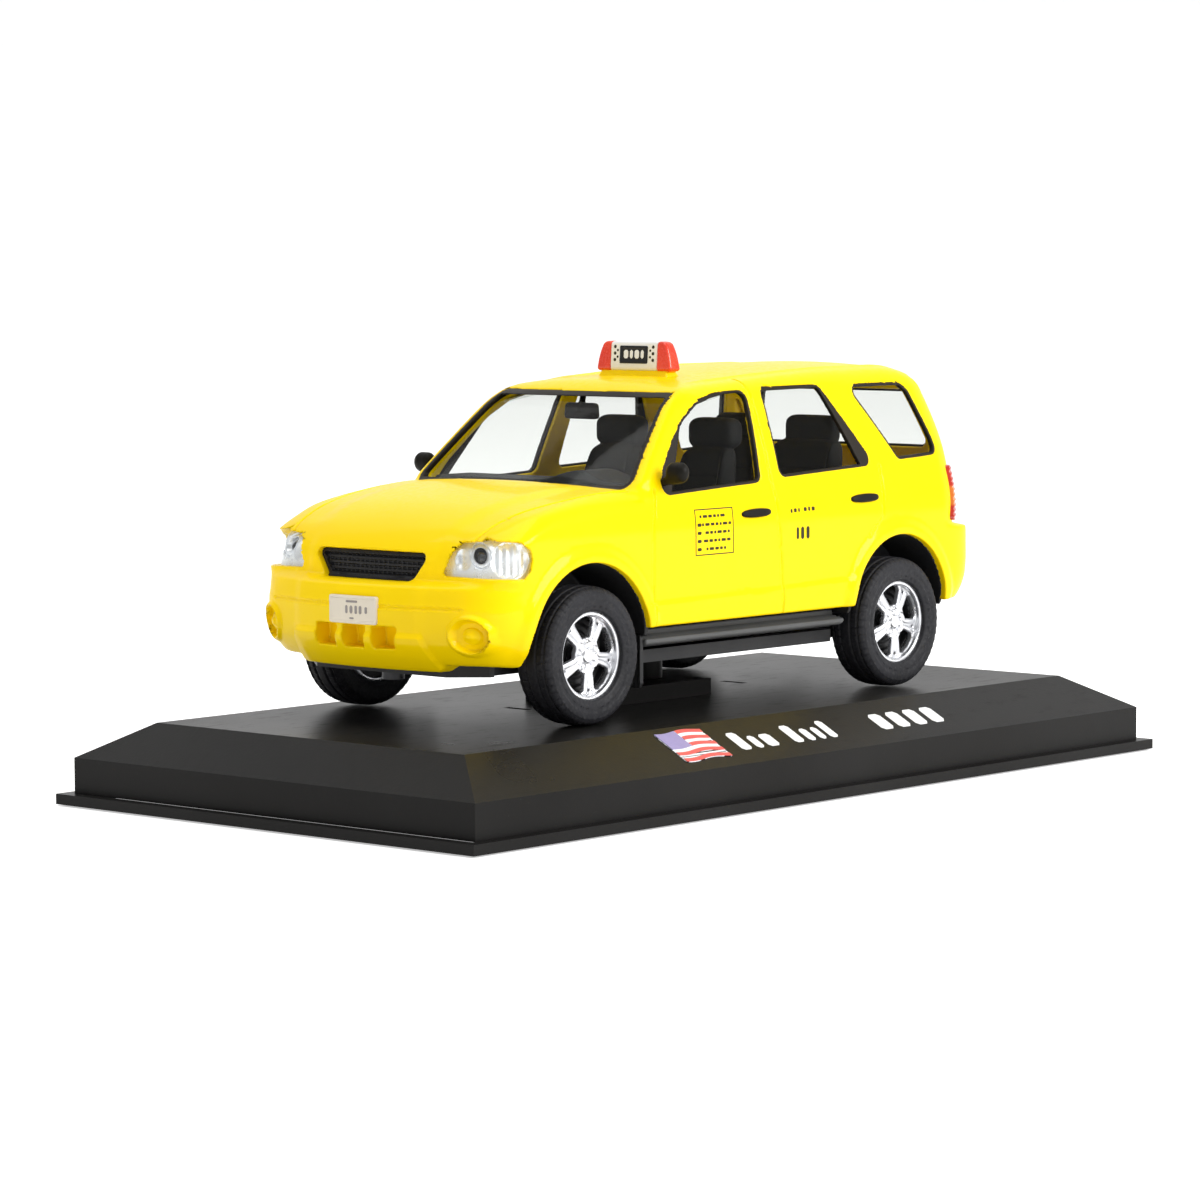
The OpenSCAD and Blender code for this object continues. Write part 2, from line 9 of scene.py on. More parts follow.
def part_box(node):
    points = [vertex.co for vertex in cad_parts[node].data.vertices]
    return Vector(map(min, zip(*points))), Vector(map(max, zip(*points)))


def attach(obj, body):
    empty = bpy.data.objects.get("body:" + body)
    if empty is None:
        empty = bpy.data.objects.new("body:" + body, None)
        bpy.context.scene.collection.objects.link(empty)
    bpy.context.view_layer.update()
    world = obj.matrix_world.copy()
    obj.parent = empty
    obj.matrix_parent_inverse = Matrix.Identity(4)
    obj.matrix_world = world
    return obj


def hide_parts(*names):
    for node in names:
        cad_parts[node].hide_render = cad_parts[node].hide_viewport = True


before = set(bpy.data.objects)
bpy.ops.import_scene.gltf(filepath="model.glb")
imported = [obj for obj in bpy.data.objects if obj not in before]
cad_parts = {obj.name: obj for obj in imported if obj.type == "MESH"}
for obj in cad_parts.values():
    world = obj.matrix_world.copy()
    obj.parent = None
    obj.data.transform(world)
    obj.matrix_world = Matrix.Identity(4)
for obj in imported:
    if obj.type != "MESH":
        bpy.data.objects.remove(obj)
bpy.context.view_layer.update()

# All shapes below are worked out in millimetres and turned into metres when a mesh is made.
# The car's own axes: x along the car with the nose at -x, h across from its centreline, z up.
MM = 0.001

# ---------------------------------------------------------------- sizes taken from the frame


def node_box(name):
    """The low and high corners of a CAD node's box, in millimetres."""
    low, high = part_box(name)
    return np.array(low) / MM, np.array(high) / MM


tyre_low, tyre_high = node_box("front_tyre_left")
rear_low, rear_high = node_box("rear_tyre_left")
CAR_Y = (tyre_low[1] + node_box("front_tyre_right")[1][1]) / 2
FRONT_X = (tyre_low[0] + tyre_high[0]) / 2
REAR_X = (rear_low[0] + rear_high[0]) / 2
AXLE_Z = (tyre_low[2] + tyre_high[2]) / 2
TYRE_R = (tyre_high[2] - tyre_low[2]) / 2
TYRE_W = tyre_high[1] - tyre_low[1]
TRACK = CAR_Y - tyre_low[1]
PLINTH_H = node_box("plinth")[1][2]

# ---------------------------------------------------------------- smooth solids from formulas

# Stands in for any distance that is too great to matter
FAR = 9.0


def smin(a, b, k):
    """The nearer of two solids, joined with a fillet of about k."""
    h = np.maximum(k - np.abs(a - b), 0) / k
    return np.minimum(a, b) - h * h * k * 0.25


def smax(a, b, k):
    """The overlap of two solids, with edges rounded to about k."""
    return -smin(-a, -b, k)


def step(edge0, edge1, x):
    """Rises smoothly from 0 at edge0 to 1 at edge1."""
    t = np.clip((x - edge0) / (edge1 - edge0), 0, 1)
    return t * t * (3 - 2 * t)


def curve(x, points):
    """A smooth line through a few points, by monotone cubic pieces."""
    px = np.array([p[0] for p in points], float)
    py = np.array([p[1] for p in points], float)
    slope = np.diff(py) / np.diff(px)
    m = np.zeros(len(px))
    m[0], m[-1] = slope[0], slope[-1]
    flat = slope[1:] * slope[:-1] <= 0
    m[1:-1] = np.where(flat, 0, 2 * slope[1:] * slope[:-1] / np.where(flat, 1, slope[1:] + slope[:-1]))
    xc = np.clip(x, px[0], px[-1])
    i = np.clip(np.searchsorted(px, xc, side="right") - 1, 0, len(px) - 2)
    w = px[i + 1] - px[i]
    t = (xc - px[i]) / w
    return (
        py[i] * (1 + 2 * t) * (1 - t) ** 2
        + m[i] * w * t * (1 - t) ** 2
        + py[i + 1] * t * t * (3 - 2 * t)
        + m[i + 1] * w * t * t * (t - 1)
    )


def polygon_distance(x, y, points, rounding):
    """Signed distance to a closed outline, negative inside."""
    pts = np.array(points, float)
    best = np.full(np.shape(x), 1e18)
    inside = np.zeros(np.shape(x), bool)
    for a, b in zip(pts, np.roll(pts, -1, axis=0)):
        ex, ey = b - a
        wx, wy = x - a[0], y - a[1]
        t = np.clip((wx * ex + wy * ey) / (ex * ex + ey * ey), 0, 1)
        best = np.minimum(best, (wx - ex * t) ** 2 + (wy - ey * t) ** 2)
        inside ^= ((a[1] <= y) != (b[1] <= y)) & (x < a[0] + ex * (y - a[1]) / (ey if ey else 1e-12))
    d = np.sqrt(best)
    return np.where(inside, -d, d) - rounding


def gradient(solid, p, eps=0.02):
    g = np.empty_like(p)
    for i in range(3):
        a, b = p.copy(), p.copy()
        a[i] += eps
        b[i] -= eps
        g[i] = (solid(a) - solid(b)) / (2 * eps)
    return g


def unit(v):
    return v / np.maximum(np.sqrt((v * v).sum(0)), 1e-9)


def project(solid, p, rounds=4, limit=0.4):
    """Moves points onto the solid's surface along its gradient."""
    for _ in range(rounds):
        f = solid(p)
        g = gradient(solid, p)
        move = f / np.maximum((g * g).sum(0), 0.05)
        p = p - g * np.clip(move, -limit, limit)
    return p


def surface_net(solid, low, high, cell):
    """A closed quad mesh of the surface where solid is zero, one point in each crossed cell."""
    low, high = np.array(low, float), np.array(high, float)
    n = np.ceil((high - low) / cell).astype(int) + 1
    axes = [low[i] + cell * np.arange(n[i]) for i in range(3)]
    grid = np.stack(np.meshgrid(*axes, indexing="ij"))
    f = solid(grid.reshape(3, -1)).reshape(n)
    s = f < 0
    count = np.zeros(n - 1, int)
    offset = [np.zeros(n - 1) for _ in range(3)]
    corners = [(i, j, k) for i in (0, 1) for j in (0, 1) for k in (0, 1)]
    for c0 in corners:
        for axis in range(3):
            if c0[axis]:
                continue
            c1 = list(c0)
            c1[axis] = 1
            a = f[tuple(slice(c, c + m - 1) for c, m in zip(c0, n))]
            b = f[tuple(slice(c, c + m - 1) for c, m in zip(c1, n))]
            cross = (a < 0) != (b < 0)
            t = np.where(cross, a / np.where(cross, a - b, 1), 0)
            for i in range(3):
                offset[i] += np.where(cross, c0[i] + (t if i == axis else 0), 0)
            count += cross
    used = count > 0
    index = np.full(n - 1, -1)
    index[used] = np.arange(used.sum())
    where = np.argwhere(used)
    verts = np.stack([low[i] + cell * (where[:, i] + offset[i][used] / count[used]) for i in range(3)])
    faces = []
    for axis in range(3):
        u, v = (axis + 1) % 3, (axis + 2) % 3
        lo = [slice(1, m - 1) for m in n]
        hi = list(lo)
        lo[axis], hi[axis] = slice(0, n[axis] - 1), slice(1, n[axis])
        a, b = s[tuple(lo)], s[tuple(hi)]
        for inside_first in (True, False):
            hit = np.argwhere((a if inside_first else b) & ~(b if inside_first else a))
            hit[:, u] += 1
            hit[:, v] += 1
            quad = []
            for du, dv in ((1, 1), (0, 1), (0, 0), (1, 0)):
                cell_at = hit.copy()
                cell_at[:, u] -= du
                cell_at[:, v] -= dv
                quad.append(index[cell_at[:, 0], cell_at[:, 1], cell_at[:, 2]])
            quad = np.stack(quad, 1)
            faces.append(quad if inside_first else quad[:, ::-1])
    return verts, np.concatenate(faces)


def triangles(verts, quads):
    """Cuts each quad along its shorter diagonal."""
    p = verts.T[quads]
    short = ((p[:, 0] - p[:, 2]) ** 2).sum(1) <= ((p[:, 1] - p[:, 3]) ** 2).sum(1)
    first = np.where(short[:, None], quads[:, [0, 1, 2]], quads[:, [0, 1, 3]])
    second = np.where(short[:, None], quads[:, [0, 2, 3]], quads[:, [1, 2, 3]])
    return np.concatenate([first, second])


def split_edges(verts, tris, wanted):
    """Halves each edge that wanted(a, b) marks and rebuilds the triangles round it."""
    edges = np.sort(np.concatenate([tris[:, [0, 1]], tris[:, [1, 2]], tris[:, [2, 0]]]), axis=1)
    unique, back = np.unique(edges, axis=0, return_inverse=True)
    mark = wanted(unique[:, 0], unique[:, 1])
    new_index = np.full(len(unique), -1)
    new_index[mark] = verts.shape[1] + np.arange(mark.sum())
    verts = np.concatenate([verts, verts[:, unique[mark]].mean(2)], axis=1)
    mid = new_index[back.reshape(3, -1)].T
    split = mid >= 0
    out = [tris[~split.any(1)]]
    for turn in range(3):
        order = [turn, (turn + 1) % 3, (turn + 2) % 3]
        t, m, s = tris[:, order], mid[:, order], split[:, order]
        one = s[:, 0] & ~s[:, 1] & ~s[:, 2]
        a, m1 = t[one], m[one]
        out += [np.stack([a[:, 0], m1[:, 0], a[:, 2]], 1), np.stack([m1[:, 0], a[:, 1], a[:, 2]], 1)]
        two = s[:, 0] & s[:, 1] & ~s[:, 2]
        a, m2 = t[two], m[two]
        out += [
            np.stack([m2[:, 0], a[:, 1], m2[:, 1]], 1),
            np.stack([a[:, 0], m2[:, 0], m2[:, 1]], 1),
            np.stack([a[:, 0], m2[:, 1], a[:, 2]], 1),
        ]
    three = split.all(1)
    a, m3 = tris[three], mid[three]
    out += [
        np.stack([a[:, 0], m3[:, 0], m3[:, 2]], 1),
        np.stack([m3[:, 0], a[:, 1], m3[:, 1]], 1),
        np.stack([m3[:, 2], m3[:, 1], a[:, 2]], 1),
        m3,
    ]
    return verts, np.concatenate(out)


def relax(solid, verts, tris, rounds=2):
    """Evens the triangles out along the surface."""
    n = verts.shape[1]
    for _ in range(rounds):
        total = np.zeros((3, n))
        count = np.zeros(n)
        for a, b in ((0, 1), (1, 2), (2, 0)):
            for s, t in ((a, b), (b, a)):
                count += np.bincount(tris[:, s], minlength=n)
                for i in range(3):
                    total[i] += np.bincount(tris[:, s], verts[i, tris[:, t]], n)
        normal = unit(gradient(solid, verts))
        shift = total / np.maximum(count, 1) - verts
        shift -= normal * (shift * normal).sum(0)
        verts = project(solid, verts + 0.6 * shift, 2)
    return verts


def meshed(solid, low, high, cell, finest=None, turn=0.35, rounds=1, also=None, plain=None):
    """Points, triangles and normals of a formula's surface inside a box.

    Edges are halved where the surface bends by more than turn (as a chord between normals) and where also()
    says so. plain is the same solid without its finest lines, which the first coarse mesh would miss."""
    plain = plain or solid
    finest = finest or cell * 0.45
    verts, quads = surface_net(plain, low, high, cell)
    tris = triangles(verts, quads)
    verts = relax(plain, project(plain, verts), tris)
    for _ in range(rounds):
        n = unit(gradient(solid, verts))

        def wanted(a, b):
            length = np.sqrt(((verts[:, a] - verts[:, b]) ** 2).sum(0))
            bend = np.sqrt(((n[:, a] - n[:, b]) ** 2).sum(0))
            mark = (bend > turn) & (length > finest)
            if also is not None:
                mark |= also(verts[:, a], verts[:, b], length)
            return mark

        verts, tris = split_edges(verts, tris, wanted)
        verts = project(solid, verts, 3)
    return verts, tris, unit(gradient(solid, verts))


def new_object(name, verts, faces, material, normals=None):
    """A mesh object from points in the car's axes, in millimetres."""
    mesh = bpy.data.meshes.new(name)
    points = np.array(verts, float).T.copy() if np.shape(verts)[0] == 3 else np.array(verts, float)
    points[:, 1] += CAR_Y
    points *= MM
    faces = np.array(faces)
    mesh.vertices.add(len(points))
    mesh.vertices.foreach_set("co", points.astype(np.float32).ravel())
    mesh.loops.add(faces.size)
    mesh.loops.foreach_set("vertex_index", faces.ravel().astype(np.int32))
    mesh.polygons.add(len(faces))
    mesh.polygons.foreach_set("loop_start", np.arange(0, faces.size, faces.shape[1], dtype=np.int32))
    mesh.update(calc_edges=True)
    mesh.validate()
    mesh.polygons.foreach_set("use_smooth", np.ones(len(mesh.polygons), bool))
    if normals is not None:
        mesh.normals_split_custom_set_from_vertices(normals.T.tolist())
    mesh.materials.append(material)
    obj = bpy.data.objects.new(name, mesh)
    bpy.context.scene.collection.objects.link(obj)
    return obj


# ---------------------------------------------------------------- the shape of the car's body

BODY_HALF = 20.85
WALL = 1.15
TUMBLE = 0.345
# How far forward and back the bumpers and the panels above them reach
BUMPER_X, NOSE_X, TAIL_X, REAR_BUMPER_X = -48.4, -45.2, 49.2, 52.0
# Wheel arches: the centre's x and z, and the radius
FRONT_ARCH = (FRONT_X - 0.2, AXLE_Z + 0.55, 10.8)
REAR_ARCH = (REAR_X + 0.1, AXLE_Z + 1.75, 9.85)
HOOD_LINE = [
    (-46.5, 30.2), (-45.2, 32.0), (-43.6, 33.5), (-41, 35.0), (-36, 36.8), (-29, 38.1), (-22, 38.9),
    (-12, 39.3),
]
ROOF_LINE = [
    (-12, 48.6), (-7, 50.4), (-2, 51.2), (5, 51.6), (17, 52.25), (28, 52.6), (37, 52.6), (43, 52.1), (48, 51),
]
WAIST_LINE = [(-22, 38.2), (-12, 37.0), (6, 37.6), (28, 38.8), (48, 39.7)]
SCREEN_FOOT = (-21.4, 38.0)
SCREEN_HEAD = (-6.4, 50.0)
SCREEN_BOW = (0.0084, 0.0015)
# Side windows, x and z seen square on; the windscreen and the tailgate glass, h and z
FRONT_WINDOW = [
    (-14.4, 37.4), (5.45, 38.3), (6.6, 45.3), (7.15, 49.85), (3.2, 49.7), (0.2, 49.25), (-3.1, 48.45),
    (-6.5, 46.45), (-9.6, 43.7), (-12.4, 40.7),
]
REAR_WINDOW = [(9.5, 38.7), (29.3, 39.5), (22.1, 50.0), (10.1, 49.9)]
QUARTER_WINDOW = [(34.7, 40.0), (43.3, 40.4), (42.9, 42.6), (40.6, 48.9), (39.2, 49.9), (27.9, 49.9)]
SIDE_WINDOWS = (FRONT_WINDOW, REAR_WINDOW, QUARTER_WINDOW)
SCREEN_WINDOW = [(-18.3, 38.3), (18.3, 38.3), (14.35, 49.6), (-14.35, 49.6)]
TAIL_WINDOW = [(-15.4, 41.0), (15.4, 41.0), (12.9, 48.8), (-12.9, 48.8)]
# The headlamps, in u = h + x + LAMP_SHIFT and z, with their two main lights
LAMP_SHIFT = 45
LAMP_OUTLINE = [
    (12.0, 28.95), (13.8, 31.75), (15.6, 32.85), (20, 33.25), (25.2, 33.0), (26.6, 32.1), (26.9, 31.0),
    (26.5, 29.5), (25.7, 28.7), (20, 28.8),
]
LAMP_EYE = (18.5, 31.4)
LAMP_WIDE = (23.3, 30.9)
# The corner radii of the openings
SIDE_ROUND, SCREEN_ROUND, TAIL_ROUND, LAMP_ROUND = 1.1, 1.0, 1.3, 0.45
FOG = (16.7, 22.0)
GRILLE = [(-9.8, 31.6), (-7.3, 28.1), (7.3, 28.1), (9.8, 31.6)]


def inset(points, by):
    """A closed outline moved inward by a distance, corner by corner."""
    pts = np.array(points, float)
    area = np.sum(pts[:, 0] * np.roll(pts[:, 1], -1) - np.roll(pts[:, 0], -1) * pts[:, 1])
    out = []
    for a, b, c in zip(np.roll(pts, 1, axis=0), pts, np.roll(pts, -1, axis=0)):
        n1 = np.array([-(b - a)[1], (b - a)[0]]) / np.hypot(*(b - a)) * np.sign(area)
        n2 = np.array([-(c - b)[1], (c - b)[0]]) / np.hypot(*(c - b)) * np.sign(area)
        out.append(b + (n1 + n2) * by / (1 + n1 @ n2))
    return out


def outline(x, y, points, rounding=1.0, margin=4.0):
    """Distance to an outline with round corners; far from it, the distance to its box."""
    pts = np.array(points, float)
    lo, hi = pts.min(0), pts.max(0)
    dx = np.maximum(np.maximum(lo[0] - x, x - hi[0]), 0)
    dy = np.maximum(np.maximum(lo[1] - y, y - hi[1]), 0)
    d = np.array(np.hypot(dx, dy) + 0.5, float)
    near = d < margin
    d[near] = polygon_distance(x[near], y[near], inset(points, rounding), rounding)
    return d


def line_distance(x, y, points, margin=2.0):
    """Distance to an open line of straight pieces."""
    pts = np.array(points, float)
    lo, hi = pts.min(0), pts.max(0)
    near = (x > lo[0] - margin) & (x < hi[0] + margin) & (y > lo[1] - margin) & (y < hi[1] + margin)
    d = np.full(np.shape(x), FAR)
    xs, ys = x[near], y[near]
    best = np.full(np.shape(xs), FAR**2)
    for a, b in zip(pts[:-1], pts[1:]):
        e = b - a
        t = np.clip(((xs - a[0]) * e[0] + (ys - a[1]) * e[1]) / (e @ e), 0, 1)
        best = np.minimum(best, (xs - a[0] - e[0] * t) ** 2 + (ys - a[1] - e[1] * t) ** 2)
    d[near] = np.sqrt(best)
    return d


def side_inset(z):
    """How far the side stands in from the widest line, at each height."""
    low = 0.35 * (np.clip(24.5 - z, 0, 7) / 3.1) ** 2
    shoulder = TUMBLE * 2.7 * (np.clip(z - 32.6, 0, 5.4) / 5.4) ** 2
    bulge = 0.006 * np.clip(z - 38, 0, 12) * np.clip(50 - z, 0, 12)
    return low + shoulder + TUMBLE * np.maximum(z - 38, 0) - bulge


def arch_distance(x, z, arch):
    """Distance outside a wheel arch: a half circle whose sides run straight down."""
    return np.hypot(x - arch[0], np.maximum(z - arch[1], 0)) - arch[2]


# How far the nose and the tail stand in at each height, below and above the bumpers' upper edges
NOSE_LOW = [
    (16.5, 3.6), (17.5, 2.7), (19.5, 1.0), (21, 0.2), (22.5, 0), (25, 0), (25.6, 0.15), (27.6, 0.5),
    (28.4, 1.2),
]
NOSE_UP = [(24, -1.2), (26.4, -1.2), (27.4, -1.05), (28.6, -0.3), (31.5, 0.0), (33, 0.55), (35, 1.6)]
TAIL_LOW = [(20.9, 2.0), (22.5, 0.9), (24.5, 0.2), (26.5, 0), (30, 0.05), (31.4, 0.5)]
TAIL_UP = [(30, 1.0), (37, 0.85), (40, 0.75), (50, 2.75), (53, 3.7)]


def side_surface(x, h, z):
    """The sides, the nose and the tail as one upright surface."""
    flare = 0.0
    for arch in (FRONT_ARCH, REAR_ARCH):
        flare = flare + 0.45 * step(2.4, 0.9, arch_distance(x, z, arch)) * step(18, 20, z)
    cladding = 0.2 * step(24.9, 24.3, z - 0.02 * x) * step(-18.6, -17.2, x) * step(24.6, 22.8, x)
    taper = np.minimum(0.00016 * np.maximum(z - 37, 0) * np.clip(x - 8, -40, 0) ** 2, 2.0)
    out = h + side_inset(z) - flare - cladding + taper
    wide = out - BODY_HALF
    front, back = step(-30, -43, x), step(30, 43, x)
    n_low = smax(wide, (BUMPER_X + curve(z, NOSE_LOW) * front + 0.0095 * h * h - x) * 0.97, 6.0)
    # The corners are fuller at the headlamps than above them
    corner = 8.0 - 4.0 * step(35.6, 32.4, z)
    n_up = smax(wide, (NOSE_X + curve(z, NOSE_UP) * front + 0.0048 * h * h - x) * 0.97, corner)
    t_low = smax(wide, (x + curve(z, TAIL_LOW) * back - REAR_BUMPER_X + 0.0025 * h * h) * 0.98, 6.0)
    t_up = smax(wide, (x + curve(z, TAIL_UP) * back - TAIL_X + 0.003 * h * h) * 0.98, 4.6)
    t = np.where(x < 0, step(27.4, 28.6, z), step(30.5, 31.3, z))
    return np.where(x < 0, n_low * (1 - t) + n_up * t, t_low * (1 - t) + t_up * t)


def hood_surface(x, h, z):
    crown = curve(x, HOOD_LINE) - 0.0021 * h * h
    ridge = 0.3 * step(1.6, -1.6, h - 12.6 - 0.1 * (x + 30)) * step(-45, -39, x) * step(-19, -24, x)
    return (z - crown - ridge) * 0.95


def screen_surface(x, h, z):
    dx, dz = SCREEN_HEAD[0] - SCREEN_FOOT[0], SCREEN_HEAD[1] - SCREEN_FOOT[1]
    bow = SCREEN_BOW[0] + (SCREEN_BOW[1] - SCREEN_BOW[0]) * np.clip((z - 38) / 12, 0, 1)
    return (-(x - SCREEN_FOOT[0] - bow * h * h) * dz + (z - SCREEN_FOOT[1]) * dx) / math.hypot(dx, dz)


def roof_surface(x, h, z):
    rail = 0.25 * np.exp(-(((h - 12.0) / 0.6) ** 2)) * step(-1, 4, x) * step(44, 40, x)
    return z - curve(x, ROOF_LINE) + 0.0036 * h * h - rail


def outer(x, h, z):
    """The body's outer surface, without openings, grooves or an underside."""
    side = side_surface(x, h, z)
    cabin = smax(screen_surface(x, h, z), roof_surface(x, h, z), 1.8)
    blend = step(-20, -14, x)
    low_top = hood_surface(x, h, z) * (1 - blend) + (z - curve(x, WAIST_LINE)) * blend
    top = smin(low_top, cabin, 0.4)
    round_off = 2.2 - 0.9 * step(38, 39.5, z) * step(0, -6, x) - 0.6 * step(-36, -42, x)
    return smax(side, top, round_off)


# The shut lines: doors in x and z, the bonnet's edge in x and h, the tailgate's in h and z
SIDE_LINES = [
    [(-15.2, 38.2), (-16.4, 34), (-16.5, 26), (-16.3, 19)],
    [(7.9, 51.4), (7.5, 38.5), (8.3, 30), (8.85, 20.5)],
    [(30.3, 39.4), (29.6, 33), (26.6, 30.3)],
]
HOOD_EDGE = [(-45.2, 14.6), (-42, 15.6), (-30, 17.2), (-18.8, 18.4)]
TAILGATE = [(-17.2, 31.8), (17.2, 31.8), (15.2, 50.6), (-15.2, 50.6)]
GROOVE_DEPTH = 0.24
# Where the casting's thick ends begin, and how far from the centreline the wheel arches cut it
END_X = 34
ARCH_INNER = 12.6


def grooves(x, h, z):
    """How deep the shut lines cut, from 0 to 1."""
    d = np.full(np.shape(x), FAR)
    for points in SIDE_LINES:
        d = np.minimum(d, np.where(h > 13, line_distance(x, z, points), FAR))
    d = np.minimum(d, np.where((z > 31) & (x < -18), line_distance(x, h, HOOD_EDGE), FAR))
    d = np.minimum(d, np.where(x < -40, np.abs(z - 25.15) + 0.3 * np.maximum(h - 15.5, 0), FAR))
    d = np.minimum(d, np.where(x > 43, np.abs(outline(h, z, TAILGATE, 1.2)), FAR))
    return step(0.3, 0, d)


def openings(x, h, z, o):
    """Distance to everything cut right through the body, negative inside a cut."""
    cut = np.full(np.shape(x), FAR)
    for points in SIDE_WINDOWS:
        cut = np.minimum(cut, np.where(h > 9, outline(x, z, points, SIDE_ROUND), FAR))
    ahead = np.maximum(x + 2, screen_surface(x, h, z) - 0.5)
    cut = np.minimum(cut, np.maximum(outline(h, z, SCREEN_WINDOW, SCREEN_ROUND), ahead))
    cut = np.minimum(cut, np.where(x > 40, outline(h, z, TAIL_WINDOW, TAIL_ROUND), FAR))
    for arch in (FRONT_ARCH, REAR_ARCH):
        cut = np.minimum(cut, np.where(h > ARCH_INNER, arch_distance(x, z, arch), FAR))
    lamp = outline(h + x + LAMP_SHIFT, z, LAMP_OUTLINE, LAMP_ROUND)
    lamp = np.where((x < -36) & (x > -48), lamp, FAR)
    return np.minimum(cut, np.maximum(lamp, -o - 3))


def recesses(x, y, z):
    """Distance to the grille's bed and to the three intakes in the front bumper."""
    grille = np.maximum(outline(y, z, GRILLE, 0.7), np.abs(x + 45) - 2.2)
    intakes = np.full(np.shape(x), FAR)
    for centre in (-5.2, -0.4, 4.4):
        one = outline(y - centre, z, [(-1.95, 22.75), (-1.7, 20.1), (1.7, 20.1), (1.95, 22.75)], 0.35)
        intakes = np.minimum(intakes, np.maximum(one, np.abs(x + 48.2) - 2.3))
    return np.minimum(grille, intakes)


def proud(x, h, z):
    """Small raised shapes: the chin plate, the bumper's middle and the fog lamps' rings, which dip inside."""
    chin = 0.45 * step(0.35, -0.35, h - 11.9 + 0.28 * (z - 17.4)) * step(22.2, 21.4, z) * step(-38, -42, x)
    ring = np.hypot(h - FOG[0], z - FOG[1])
    ring = (0.4 * step(2.75, 2.2, ring) - 0.9 * step(2.1, 1.65, ring)) * step(-38, -41, x)
    # The bumper's middle stands a little forward, up to a crease beside the grille
    middle = 0.16 * step(0.9, -0.9, h - 10.4 - 0.1 * np.maximum(20.5 - z, 0))
    middle = middle * step(-38, -42, x) * step(34, 31, z)
    return np.where(ring < 0, ring, np.maximum(chin, ring)) + middle


def lower_edge(x, h):
    """Where the body ends below: at the front bumper, the sills and the rear bumper."""
    front = 17.35 + 0.9 * step(11.2, 12.6, h) - 0.3 * step(-44, -39, x)
    return np.where(x < FRONT_X, front, np.where(x < REAR_X, 21.35, 20.9))


def body(p, fine=True):
    """The casting: a shell under the skin, cut by the shut lines, the openings and its lower edge."""
    x, h, z = p[0], np.abs(p[1]), p[2]
    o = outer(x, h, z)
    raised = o - proud(x, h, z)
    lines = GROOVE_DEPTH * grooves(x, h, z) if fine else 0.0
    # Both ends are thick: behind the grille, the intakes and the fog lamps, and under the rear bumper's ledge
    thick = WALL + 2.6 * step(END_X, END_X + 7, np.abs(x)) * step(34.5, 33, z)
    middle = smax(raised + lines, -(o + WALL), 0.3)
    end = smax(raised, -(o + thick), 0.3) + lines
    shell = np.where(np.abs(x) > END_X, end, middle)
    shell = smax(shell, -recesses(x, p[1], z), 0.25)
    shell = smax(shell, -openings(x, h, z, o), 0.22)
    return smax(shell, lower_edge(x, h) - z, 0.3)


def body_plain(p):
    return body(p, fine=False)


def near_grooves(a, b, length):
    """Marks the edges that lie on a shut line or on the rim of a window or headlamp."""
    mid = (a + b) / 2
    x, h, z = mid[0], np.abs(mid[1]), mid[2]
    o = outer(x, h, z)
    rim = (np.abs(openings(x, h, z, o)) < 0.3) & ((z > 36.5) | ((x < -39) & (z > 31)))
    return (length > 0.2) & ((grooves(x, h, z) > 0.01) | rim) & (o > -0.4)


# ---------------------------------------------------------------- materials


class Nodes:
    """A short way to write a node material."""

    def __init__(self, name):
        self.material = bpy.data.materials.new(name)
        self.material.use_nodes = True
        self.tree = self.material.node_tree
        self.tree.nodes.clear()
        self.out = self.tree.nodes.new("ShaderNodeOutputMaterial")
        self.place = self.add("ShaderNodeTexCoord").outputs["Object"]

    def add(self, kind, inputs=None, **settings):
        node = self.tree.nodes.new(kind)
        for key, value in settings.items():
            setattr(node, key, value)
        for key, value in (inputs or {}).items():
            if isinstance(value, bpy.types.NodeSocket):
                self.tree.links.new(value, node.inputs[key])
            else:
                node.inputs[key].default_value = value
        return node

    def noise(self, scale, detail=2.0, roughness=0.5, stretch=None):
        place = self.place
        if stretch:
            place = self.add("ShaderNodeMapping", {"Vector": place, "Scale": stretch}).outputs[0]
        inputs = {"Vector": place, "Scale": scale, "Detail": detail, "Roughness": roughness}
        return self.add("ShaderNodeTexNoise", inputs).outputs["Fac"]

    def spread(self, value, low, high, to_low=0.0, to_high=1.0):
        inputs = {"Value": value, "From Min": low, "From Max": high, "To Min": to_low, "To Max": to_high}
        return self.add("ShaderNodeMapRange", inputs).outputs[0]

    def mix(self, factor, a, b):
        return self.add("ShaderNodeMix", {0: factor, 6: a, 7: b}, data_type="RGBA").outputs[2]

    def blend(self, noise, a, b):
        """Two colours in soft patches."""
        return self.mix(self.spread(noise, 0.3, 0.7), a, b)

    def maths(self, operation, a, b=0.0):
        return self.add("ShaderNodeMath", {0: a, 1: b}, operation=operation).outputs[0]

    def bump(self, height, distance):
        return self.add("ShaderNodeBump", {"Height": height, "Distance": distance}).outputs[0]

    def principled(self, **inputs):
        shader = self.add("ShaderNodeBsdfPrincipled", {k.replace("_", " "): v for k, v in inputs.items()})
        self.tree.links.new(shader.outputs[0], self.out.inputs[0])
        return self.material


def rgba(r, g, b):
    return (r, g, b, 1.0)


def shade(colour, by):
    return rgba(*(c * by for c in colour[:3]))


